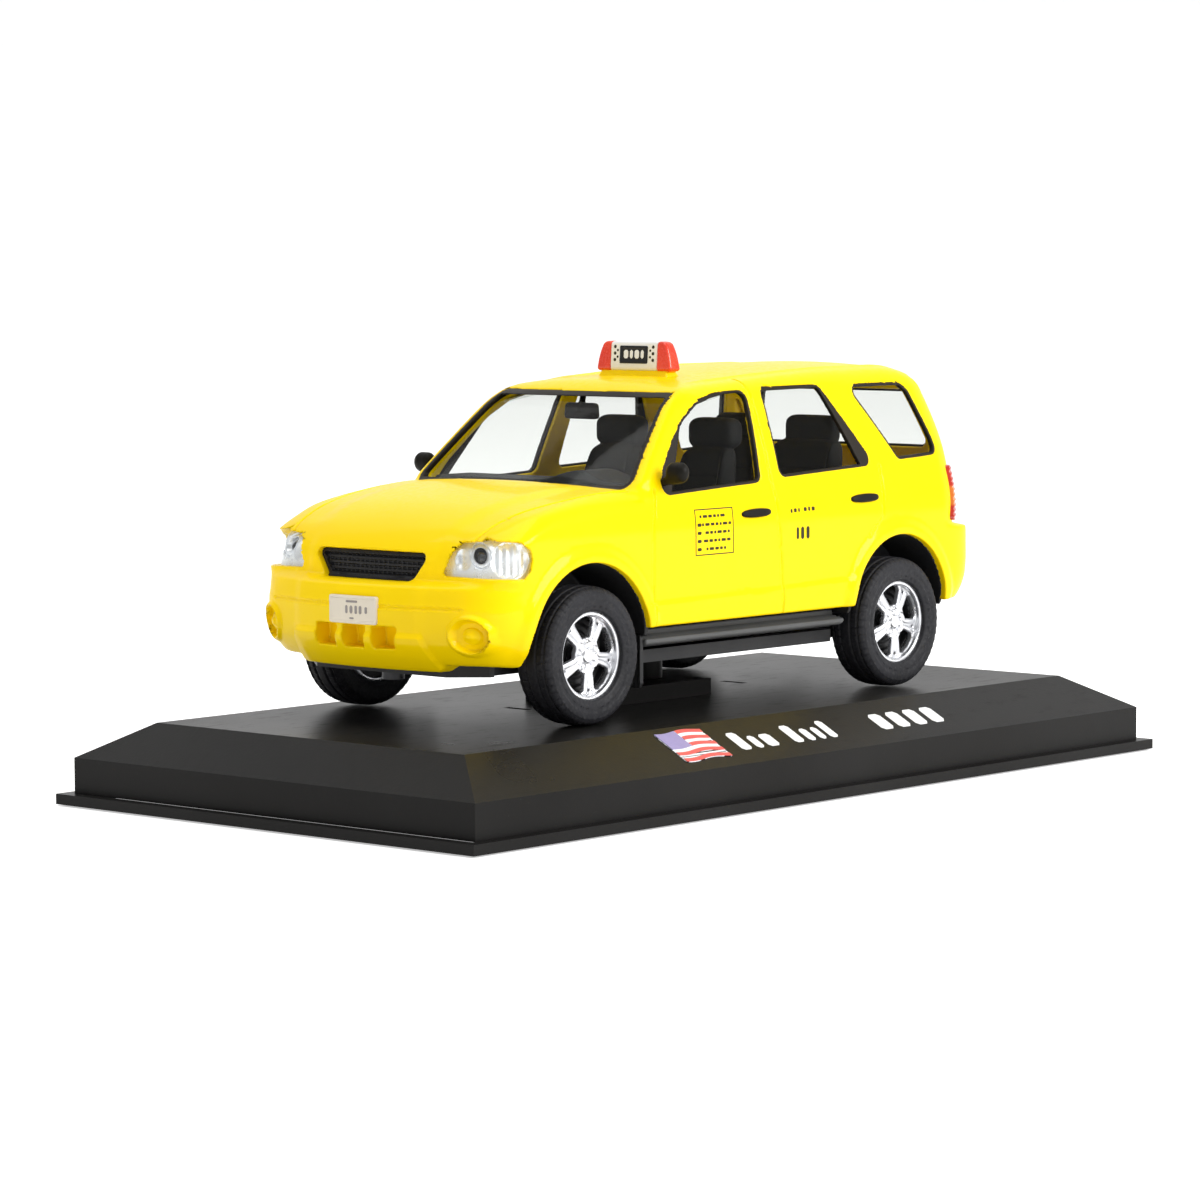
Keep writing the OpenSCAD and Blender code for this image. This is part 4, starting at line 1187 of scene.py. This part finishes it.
def tyre(p):
    """Four grooves round the tread, zigzag cuts across it, lugs at its edges and rings on the sidewalls."""
    r, a, s = wheel_polar(p, TRACK - TYRE_W / 2)
    u = np.abs(s)
    bead = 0.09 * step(0.25, 0.1, np.abs(r - 6.25)) + 0.06 * step(0.4, 0.2, np.abs(r - 7.35) - 0.12)
    lugs = 0.05 * step(-0.2, 0.3, np.cos(LUGS * a)) * step(7.6, 7.75, r)
    side = u - half_width(r) - bead + 0.09 - lugs * (u > 1.9) + 0.05
    groove = np.minimum(np.abs(u - 0.8), np.abs(u - 1.9)) - 0.12
    zig = np.abs(((a * LUGS / (2 * math.pi) + 0.12 * s) % 1) - 0.5) * 2 * math.pi * 8.5 / LUGS - 0.08
    sipes = np.where(u > 0.9, zig + 0.05, FAR)
    cut = 0.24 * step(0.12, -0.02, groove) + 0.1 * step(0.12, -0.02, sipes)
    cut = np.minimum(cut, 0.24) * step(7.8, 8.1, r)
    tread = r - TYRE_R + 0.02 * u * u + cut
    return smax(smax(side, tread, 0.95), TYRE_BORE - r, 0.25)


def tyre_plain(p):
    r, _, s = wheel_polar(p, TRACK - TYRE_W / 2)
    return smax(smax(np.abs(s) - half_width(r), r - TYRE_R, 0.95), TYRE_BORE - r, 0.25)


def near_tread(a, b, length):
    return (length > 0.2) & (wheel_polar((a + b) / 2, 0)[0] > 7.55)


def rim(p):
    """A five-spoke disc with small holes and hub nuts, in a barrel; one sector is folded onto all of them."""
    r, a, s = wheel_polar(p, RIM_HUB)
    sector = 2 * math.pi / SPOKES
    fold = ((a - math.radians(96) + sector / 2) % sector) - sector / 2
    px, py = r * np.cos(fold), r * np.sin(fold)
    window = outline(px, py, RIM_WINDOW, 0.25)
    half = ((fold + sector) % sector) - sector / 2
    qx, qy = r * np.cos(half), r * np.sin(half)
    hole = np.hypot(qx - 4.3, qy) - 0.2
    nuts = np.hypot(px - 1.55, py)
    bolted = 0.14 * step(0.38, 0.26, nuts)
    sunk = 0.18 * step(0.6, 0.45, nuts) * (nuts > 0.3)
    face = 2.3 - 0.012 * r * r + 0.25 * step(1.0, 0.75, r) + bolted - sunk
    rib = 0.12 * step(0.42, 0.2, np.abs(window - 0.28))
    disc = smax(s - face + 0.45 - rib, face - 1.1 - s, 0.2)
    disc = smax(disc, -window, 0.22)
    disc = smax(disc, -hole, 0.12)
    disc = smax(disc, r - 5.0, 0.1)
    barrel = smax(np.abs(r - 5.18) - 0.3, np.abs(s) - RIM_HALF - 0.05, 0.25)
    return smin(disc, barrel, 0.25)


def shade_backing(p):
    """A dark ribbed plate and cup behind the spokes: painted shade for the shaded inside of the wheel."""
    r, _, s = wheel_polar(p, RIM_HUB)
    fins = 0.08 * np.cos(r * 7)
    cup = np.maximum(np.abs(r - 4.8) - 0.2, s - 0.8)
    return np.maximum(np.minimum(s + 0.2 - fins, cup), np.maximum(r - 5.0, -(s + 1.9)))


def wheel_box(radius, margin):
    """A box round the front left wheel."""
    low = (FRONT_X - radius, -TRACK - margin, AXLE_Z - radius)
    high = (FRONT_X + radius, -TRACK + TYRE_W + margin, AXLE_Z + radius)
    return low, high


tyre_mesh = meshed(
    tyre, *wheel_box(9, 0.4), 0.36, plain=tyre_plain, rounds=2, finest=0.16, turn=0.4, also=near_tread,
)
rim_mesh = meshed(rim, *wheel_box(5.9, 0.3), 0.24, finest=0.12, turn=0.3)
# The dark plate behind each rim's spokes is painted shade, standing in for the shaded inside of the wheel.
shade_backing_mesh = meshed(shade_backing, *wheel_box(5.9, 0.3), 0.3)
for end, dx in (("front", 0.0), ("rear", REAR_X - FRONT_X)):
    wheels = f"{end}_wheels"
    pair(f"{end}_tyre_rubber", tyre_mesh, RUBBER, "tyre_rubber", f"{end}_tyre", wheels, dx)
    pair(f"{end}_alloy", rim_mesh, RIM_CHROME, "rim_chrome", f"{end}_rim", wheels, dx)
    pair(f"{end}_drum", shade_backing_mesh, CHASSIS_PLASTIC, "chassis_plastic", None, wheels, dx)

# ---------------------------------------------------------------- inside the car


def seat_shape(p, centre, half, back_x, rest_part, rest_z, rest_deep=1.15):
    """One moulded seat: cushion with bolsters, back with wings, and a headrest on top."""
    x, y, z = p[0] - back_x, np.abs(p[1] - centre), p[2]
    floor = 22.1
    bolster = 0.8 * step(half - 1.9, half - 0.7, y)
    cushion = smax(smax(y - half, np.abs(x + 4.3) - 4.9, 1.1), z - 29.2 - bolster - 0.07 * (-x), 0.9)
    cushion = smax(cushion, floor - z, 0.3)
    lean = x - 0.24 * (z - 30)
    wings = 0.9 * step(half - 1.7, half - 0.6, y)
    seams = 0.1 * step(0.22, 0.05, np.abs(np.abs(z - 36.4) - 2.1)) * (y < half - 1.3)
    back = smax(-(lean + 1.5 + wings) + seams, lean - 1.5, 1.2)
    back = smax(back, y - half + 0.09 * np.clip(z - 36, 0, 8) ** 1.3, 1.3)
    back = smax(back, np.abs(z - 35.3) - 7.3, 1.6)
    rest = smax(np.abs(x - 0.24 * 14.3 - 0.1) - rest_deep, y - half * rest_part, 1.2)
    rest = smax(rest, np.abs(z - rest_z) - 2.05, 1.4)
    posts = np.hypot(x - 0.24 * 12.5, y - half * 0.25) - 0.32
    posts = np.maximum(posts, np.abs(z - 42.5) - 1.5)
    return smin(smin(cushion, back, 0.6), np.minimum(rest, posts), 0.15)


def front_seat(p):
    return seat_shape(p, -8.0, 4.3, 7.0, 0.84, 44.0, 1.7)


def rear_seats(p):
    return np.minimum(*(seat_shape(p, y, 5.9, 29.4, 0.72, 43.6) for y in (-6.2, 6.2)))


seat_mesh = meshed(front_seat, (-3.5, -12.8, 21.6), (13.5, -3.2, 47.2), 0.42)
pair("front_seat_form", seat_mesh, SEAT, "interior_plastic", "front_seat")
bench_mesh = meshed(rear_seats, (18.8, -13, 21.6), (35.9, 13, 47.2), 0.5)
piece("rear_seat_form", bench_mesh, SEAT, "interior_plastic", "rear_bench")


def dashboard(p):
    """The dashboard, with a hood over the driver's dials and oval vents."""
    x, y, z = p
    hood_bump = 1.3 * np.exp(-(((y + 8) / 3.4) ** 2)) * step(-8, -10, x)
    top = z - 39.0 - hood_bump + 0.05 * (x + 10) ** 2 * (x > -10)
    face = x + 8.6 + 0.25 * (z - 36) - 0.4 * np.exp(-((y / 2.6) ** 2))
    vents = 0.25 * step(0.55, 0.35, np.hypot(((y + 2.2) % 4.4 - 2.2) * 0.7, z - 35.3)) * (np.abs(y) < 15)
    form = smax(top, face + vents, 0.9)
    form = smax(form, np.abs(y) - 16.7, 0.5)
    form = smax(form, -17.2 - x, 0.3)
    form = smax(form, 29.2 - z + 0.3 * np.clip(-12 - x, 0, 9), 0.5)
    return smax(form, skin(p) + WALL + 0.1, 0.1)


dash_mesh = meshed(dashboard, (-18, -17.3, 28.6), (-7.2, 17.3, 40.4), 0.4)
piece("dash_moulding", dash_mesh, DASH, "interior_plastic", "dashboard")


def inner_mirror(p):
    """The rear view mirror: a rounded head on a short stalk from the roof's front edge."""
    x, y, z = p[0] + 5.3, p[1] - 1.0, p[2] - 47.2
    head = smax(smax(np.abs(x) - 0.5, np.abs(y) - 2.7 + 0.08 * z, 0.4), np.abs(z) - 1.05, 0.5)
    stalk = np.maximum(np.hypot(x + 0.3 - 0.3 * z, y) - 0.4, np.abs(z - 1.3) - 1.3)
    return smin(head, stalk, 0.3)


inner_mirror_mesh = meshed(inner_mirror, (-7, -2.4, 45.6), (-3.6, 4.4, 50.2), 0.26)
piece("rear_view_mirror", inner_mirror_mesh, BLACK_TRIM, "black_trim")

# ---------------------------------------------------------------- the roof sign

SIGN_X = 4.6
sign_low, sign_high = node_box("roof_sign_end_caps")
SIGN_Z = sign_low[2]
SIGN_TOP = sign_high[2]
# Half the sign's thickness at its foot, and how fast it narrows upward
SIGN_HALF, SIGN_SLOPE = 1.05, 0.07


def sign_block(p):
    """The whole sign above its base, from which the middle and the end caps are cut."""
    x, h, z = p[0] - SIGN_X, np.abs(p[1]), p[2]
    up = z - SIGN_Z
    form = smax(np.abs(x) - SIGN_HALF + SIGN_SLOPE * up, h - 6.3 + 0.14 * up + 0.012 * up**3, 0.35)
    return smax(form, np.abs(z - (SIGN_Z + SIGN_TOP) / 2) - (SIGN_TOP - SIGN_Z) / 2, 0.5)


def sign_middle(p):
    return smax(sign_block(p), np.abs(p[1]) - 3.95, 0.12)


def sign_caps(p):
    return smax(sign_block(p) - 0.04, 3.97 - np.abs(p[1]), 0.2)


def sign_foot(p):
    x, h, z = p[0] - SIGN_X, np.abs(p[1]), p[2]
    spread_out = 0.5 * np.clip(SIGN_Z + 0.1 - z, 0, 1) ** 1.5
    form = smax(np.abs(x) - 0.95 - spread_out, h - 5.7 - spread_out, 0.5)
    return smax(smax(form, z - SIGN_Z - 0.1, 0.15), -(skin(p) + 0.3), 0.1)


def sign_panel(p):
    x, y, z = p[0] - SIGN_X, p[1], p[2]
    up = z - SIGN_Z
    q = outline(y, z, bar(-2.4, 53.05, 2.4, 55.35), 0.2)
    face = np.abs(x) - SIGN_HALF + SIGN_SLOPE * up
    return smax(smax(q, face - 0.09 + 0.05 * step(-0.3, -0.42, q), 0.06), -(face + 0.3), 0.05)


sign_box = ((3, -7, 51.2), (6.2, 7, 56.2))
piece("sign_middle", meshed(sign_middle, *sign_box, 0.26), SIGN_WHITE, "sign_white", "roof_sign_body")
piece("sign_caps", meshed(sign_caps, *sign_box, 0.22), SIGN_RED, "red_lens", "roof_sign_end_caps")
foot_mesh = meshed(sign_foot, (2.6, -7.4, 51), (6.6, 7.4, 52.6), 0.24)
piece("sign_foot", foot_mesh, PAINT, "body_paint", "roof_sign_base")
panel_mesh = meshed(sign_panel, (3, -2.8, 52.6), (6.2, 2.8, 55.7), 0.18)
piece("sign_panel", panel_mesh, GRILLE_BLACK, "black_trim", "roof_sign_panel")

# ---------------------------------------------------------------- printed marks, none of them lettering


def printed(name, shapes, to_surface, material, slot, finest=0.7):
    """Thin ink shapes on a surface, each a closed outline in flat coordinates."""
    verts, faces, _ = sheet(shapes, to_surface, 0.03, -0.03, finest)
    obj = new_object(name, verts, faces, material)
    obj.data.polygons.foreach_set("use_smooth", np.zeros(len(obj.data.polygons), bool))
    return finish(obj, "root", slot)


def fare_table(x0, x1, z0, z1, line=0.13):
    """A frame with five rows of dashes; all but the first row start with a dot."""
    marks = [bar(x0, z0, x1, z0 + line), bar(x0, z1 - line, x1, z1)]
    marks += [bar(a, z0 + line, b, z1 - line) for a, b in ((x0, x0 + line), (x1 - line, x1))]
    dots = []
    for row, (start, end) in enumerate(((0.9, 5.9), (0.5, 6.9), (1.9, 6.6), (1.6, 6.9), (2.1, 6.4))):
        z = z1 - 0.95 - row * 1.02
        at = start
        k = 0
        while at < end - 0.3:
            wide = 0.35 + 0.3 * ((row * 5 + k * 3) % 4) / 2
            marks.append(bar(x0 + at, z - 0.16, x0 + min(at + wide, end), z + 0.18, 0.06))
            at += wide + 0.28
            k += 1
        if row:
            dots.append(bar(x0 + 0.4, z - 0.2, x0 + 1.15, z + 0.2, 0.12))
    return marks + dots


def door_marks():
    """A row of short marks, as x, width, foot and top, with three taller ones below it."""
    short = (
        (10.3, 0.35, 34.15, 34.65), (11.0, 0.5, 34.2, 34.7), (11.85, 0.3, 34.2, 34.7),
        (13.0, 0.55, 34.25, 34.75), (13.9, 0.35, 34.25, 34.8), (14.6, 0.6, 34.25, 34.75),
    )
    marks = [bar(x, foot, x + wide, top, 0.1) for x, wide, foot, top in short]
    return marks + [bar(x, 30.7, x + wide, 32.3, 0.2) for x, wide in ((11.4, 0.45), (12.3, 0.6), (13.4, 0.6))]


for word, side in (("left", -1), ("right", 1)):
    fare = fare_table(-8.6, -1.2, 29.7, 35.5)
    printed(f"fare_table_{word}", fare, on_side(side), INK, "black_trim", 1.2)
    printed(f"door_marks_{word}", door_marks(), on_side(side), INK, "black_trim", 1.2)


def on_front_plate(u, v, out):
    return np.stack([FRONT_FACE + 0.03 + FRONT_BOW * u * u - out * 1.2, u - PLATE_SHIFT, v])


def on_rear_plate(u, v, out):
    return np.stack([REAR_FACE - 0.03 + REAR_BOW * u * u + out * 1.2, u, v])


plate_marks = [
    bar(-2.5, 24.2, -2.15, 25.0, 0.1), bar(-1.6, 24.1, -1.2, 25.1, 0.15), bar(-0.85, 24.1, -0.5, 25.1, 0.1),
    bar(-0.1, 24.1, 0.35, 25.1, 0.2), bar(0.75, 24.1, 1.1, 25.1, 0.12), bar(-0.9, 25.45, 1.0, 25.7, 0.1),
    bar(-0.3, 23.45, 0.4, 23.65, 0.08),
]
rear_marks = [[(u, v + 9.5) for u, v in mark] for mark in plate_marks]
printed("front_plate_marks", plate_marks, on_front_plate, INK_GREY, "plate_print")
printed("rear_plate_marks", rear_marks, on_rear_plate, INK_GREY, "plate_print")


def on_sign(side, lift=0.0):
    def place(u, v, out):
        return np.stack([SIGN_X + side * (SIGN_HALF - SIGN_SLOPE * (v - SIGN_Z) + lift + out), u, v])

    return place


panel_rows = ((-1.75, 0.5), (-0.95, 0.75), (0.1, 0.5), (0.9, 0.75))
panel_marks = [bar(u, 53.7, u + wide, 54.8, 0.2) for u, wide in panel_rows]
dots = [bar(u, v, u + 0.42, v + 0.42, 0.12) for u in (-3.5, 3.0) for v in (53.3, 54.15, 55.0)]
dots += [bar(u, v, u + 0.3, v + 0.3, 0.08) for u in (-2.95, 2.6) for v in (53.75, 54.6)]
for word, side in (("front", -1), ("rear", 1)):
    printed(f"sign_panel_marks_{word}", panel_marks, on_sign(side, 0.05), INK_WHITE, "sign_white")
    printed(f"sign_side_marks_{word}", dots, on_sign(side), INK, "black_trim")

# ---------------------------------------------------------------- the plinth's emblem and title marks

emblem_low, emblem_high = node_box("emblem_label")
# The front slope in y and z: a point on its top edge, the way down it and the way out of it
SLOPE_TOP_Y, SLOPE_FOOT_Y, SLOPE_DROP = -25.8, -33.85, 4.3
SLOPE_TOP = np.array([SLOPE_TOP_Y - CAR_Y, PLINTH_H])
SLOPE_DOWN = np.array([SLOPE_FOOT_Y - SLOPE_TOP_Y, -SLOPE_DROP])
SLOPE_DOWN = SLOPE_DOWN / np.hypot(*SLOPE_DOWN)
SLOPE_OUT = np.array([SLOPE_DOWN[1], -SLOPE_DOWN[0]])


def on_slope(lift=0.0):
    """Lays u, along the plinth, and v, down its slope, on the slope."""
    def place(u, v, out):
        y = SLOPE_TOP[0] + SLOPE_DOWN[0] * v + SLOPE_OUT[0] * (out + lift)
        z = SLOPE_TOP[1] + SLOPE_DOWN[1] * v + SLOPE_OUT[1] * (out + lift)
        return np.stack([u, y, z])

    return place


def wave(u):
    return 0.22 * np.sin((u + 26.6) * 0.8 + 0.4)


def waved(points):
    """A closed outline cut into short pieces that follow the label's wave."""
    out = []
    for (ua, va), (ub, vb) in zip(points, points[1:] + points[:1]):
        parts = max(1, int(abs(ub - ua) / 0.5))
        out += [(ua + (ub - ua) * i / parts, va + (vb - va) * i / parts) for i in range(parts)]
    return [(u, v + float(wave(u))) for u, v in out]


# The label's ends along the plinth, its edges down the slope, its stripes and its plain corner
LABEL_LEFT, LABEL_RIGHT = emblem_low[0] + 0.1, emblem_high[0] - 0.1
LABEL_TOP, LABEL_FOOT = 1.05, 7.05
STRIPES = 9
CORNER_STRIPES = 5
CORNER_WIDTH, SHORT_STRIPES_START = 3.8, 3.9
LABEL_EDGE = 0.05


def emblem_plate(p):
    x, y, z = p
    v = (y - SLOPE_TOP[0]) * SLOPE_DOWN[0] + (z - SLOPE_TOP[1]) * SLOPE_DOWN[1]
    out = (y - SLOPE_TOP[0]) * SLOPE_OUT[0] + (z - SLOPE_TOP[1]) * SLOPE_OUT[1]
    e = LABEL_EDGE
    q = outline(x, v - wave(x), bar(LABEL_LEFT - e, LABEL_TOP - e, LABEL_RIGHT + e, LABEL_FOOT + e), 0.3)
    return smax(smax(q, out - 0.1, 0.05), -out - 0.12, 0.03)


emblem_mesh = meshed(emblem_plate, (-27.2, -36.4, 5.4), (-17.4, -27.8, 10.4), 0.2)
piece("emblem_plate", emblem_mesh, INK_WHITE, "printed_label", "emblem_label")
tall = (LABEL_FOOT - LABEL_TOP) / STRIPES
stripes = []
for i in range(0, STRIPES, 2):
    left = LABEL_LEFT + SHORT_STRIPES_START if i < CORNER_STRIPES else LABEL_LEFT
    stripes.append(waved(bar(left, LABEL_TOP + i * tall, LABEL_RIGHT, LABEL_TOP + (i + 1) * tall)))
corner = waved(bar(LABEL_LEFT, LABEL_TOP, LABEL_LEFT + CORNER_WIDTH, LABEL_TOP + CORNER_STRIPES * tall))
printed("emblem_stripes", stripes, on_slope(0.1), INK_RED, "printed_label")
printed("emblem_corner", [corner], on_slope(0.1), INK_VIOLET, "printed_label")

# The title's first bars in two groups, as width and top edge down the slope; four equal bars follow them
TITLE_GROUPS = (
    ((2.3, 2.7), (1.7, 3.8), (2.6, 3.8)),
    ((2.2, 2.7), (1.7, 3.8), (1.5, 3.8), (1.8, 2.7)),
)
title = []
u = -15.0
for group in TITLE_GROUPS:
    for wide, top_v in group:
        title.append(bar(u, top_v, u + wide * 0.8, 6.4, 0.4))
        u += wide + 0.55
    u += 2.0
for k in range(4):
    title.append(bar(12.9 + 3.55 * k, 2.9, 15.3 + 3.55 * k, 6.3, 0.5))
printed("title_marks", title, on_slope(), INK_WHITE, "printed_label")

# ---------------------------------------------------------------- CAD pieces that stay, with finer materials

FINISHES = {
    "plinth": PLINTH, "pedestal": PLINTH, "base_screws": STEEL, "chassis": CHASSIS_PLASTIC,
    "chassis_screws": BLACK_STEEL, "interior_tub": DASH, "steering_wheel": DASH, "front_axle_rod": STEEL,
    "rear_axle_rod": STEEL, "exhaust_pipe": STEEL,
}
BEVELS = {"plinth": 0.00035, "pedestal": 0.00025, "chassis": 0.0002, "interior_tub": 0.0003}
for name, material in FINISHES.items():
    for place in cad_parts[name].material_slots:
        place.material = material
for name, width in BEVELS.items():
    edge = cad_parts[name].modifiers.new("soft_edges", "BEVEL")
    edge.width = width
    edge.segments = 3
    edge.limit_method = "ANGLE"
    edge.angle_limit = math.radians(32)
    edge.harden_normals = True

# ---------------------------------------------------------------- floor, light and camera

WHITE = plastic("studio_white", rgba(0.9, 0.9, 0.9), 0.75, 60, 1e-5, variation=0.01, specular=0.1, glow=0.47)
VIEW_AZIMUTH = -48.43
VIEW_ELEVATION = 4.76
VIEW_ROLL = -0.22
VIEW_DISTANCE = 0.5472
VIEW_TARGET = Vector((-0.00589, 0.0, 0.02309))
VIEW_LENS = 128.31


def sweep_backdrop():
    """A floor that curves up into a wall a long way behind the model."""
    bend_at, bend = 2.2, 1.2
    angles = np.linspace(0.1, math.pi / 2, 12)
    line = [(-9.0, 0.0), (bend_at, 0.0)]
    line += [(bend_at + bend * math.sin(a), bend - bend * math.cos(a)) for a in angles]
    line += [(bend_at + bend, 5.0)]
    heading = math.radians(VIEW_AZIMUTH)
    back = Vector((-math.sin(heading), math.cos(heading)))
    side = Vector((back.y, -back.x))
    mesh = bpy.data.meshes.new("backdrop")
    points = [(*(back * d + side * w), z - 0.0002) for d, z in line for w in (-8, 8)]
    faces = [(2 * i, 2 * i + 1, 2 * i + 3, 2 * i + 2) for i in range(len(line) - 1)]
    mesh.from_pydata(points, [], faces)
    mesh.polygons.foreach_set("use_smooth", [True] * len(faces))
    mesh.materials.append(WHITE)
    obj = bpy.data.objects.new("backdrop", mesh)
    bpy.context.scene.collection.objects.link(obj)


def aim(obj, target):
    obj.rotation_euler = (Vector(target) - obj.location).to_track_quat("-Z", "Y").to_euler()


def lamp(name, place, target, size, power):
    data = bpy.data.lights.new(name, "AREA")
    data.shape = "RECTANGLE"
    data.size, data.size_y = size
    data.energy = power
    obj = bpy.data.objects.new(name, data)
    obj.location = place
    bpy.context.scene.collection.objects.link(obj)
    aim(obj, target)


sweep_backdrop()
lamp("key_from_the_right", (0.25, -0.75, 0.42), (0.0, 0.0, 0.03), (0.5, 0.4), 6.5)
lamp("soft_box_above", (-0.1, 0.05, 0.8), (0, 0, 0.03), (0.9, 0.7), 3.6)
lamp("fill_at_the_nose", (-0.9, 0.15, 0.35), (0, 0, 0.03), (0.5, 0.4), 0.2)

world = bpy.data.worlds.new("studio")
world.use_nodes = True
world.node_tree.nodes["Background"].inputs["Color"].default_value = (1, 1, 1, 1)
world.node_tree.nodes["Background"].inputs["Strength"].default_value = 0.42
bpy.context.scene.world = world
bpy.context.scene.view_settings.view_transform = "Standard"

azimuth, elevation = math.radians(VIEW_AZIMUTH), math.radians(VIEW_ELEVATION)
level = Vector((math.sin(azimuth), -math.cos(azimuth), 0)) * math.cos(elevation)
toward = level + Vector((0, 0, math.sin(elevation)))
right = Vector((math.cos(azimuth), math.sin(azimuth), 0))
up = toward.cross(right)
roll = math.radians(VIEW_ROLL)
right, up = right * math.cos(roll) + up * math.sin(roll), up * math.cos(roll) - right * math.sin(roll)
camera_data = bpy.data.cameras.new("camera")
camera_data.sensor_width = 36
camera_data.lens = VIEW_LENS
camera_data.clip_start = 0.01
camera = bpy.data.objects.new("camera", camera_data)
turned = Matrix((right, up, toward)).transposed().to_4x4()
camera.matrix_world = Matrix.Translation(VIEW_TARGET + toward * VIEW_DISTANCE) @ turned
bpy.context.scene.collection.objects.link(camera)
bpy.context.scene.camera = camera

# ---------------------------------------------------------------- sizes, and the end


def plain(box):
    return [[float(c) for c in corner] for corner in box]
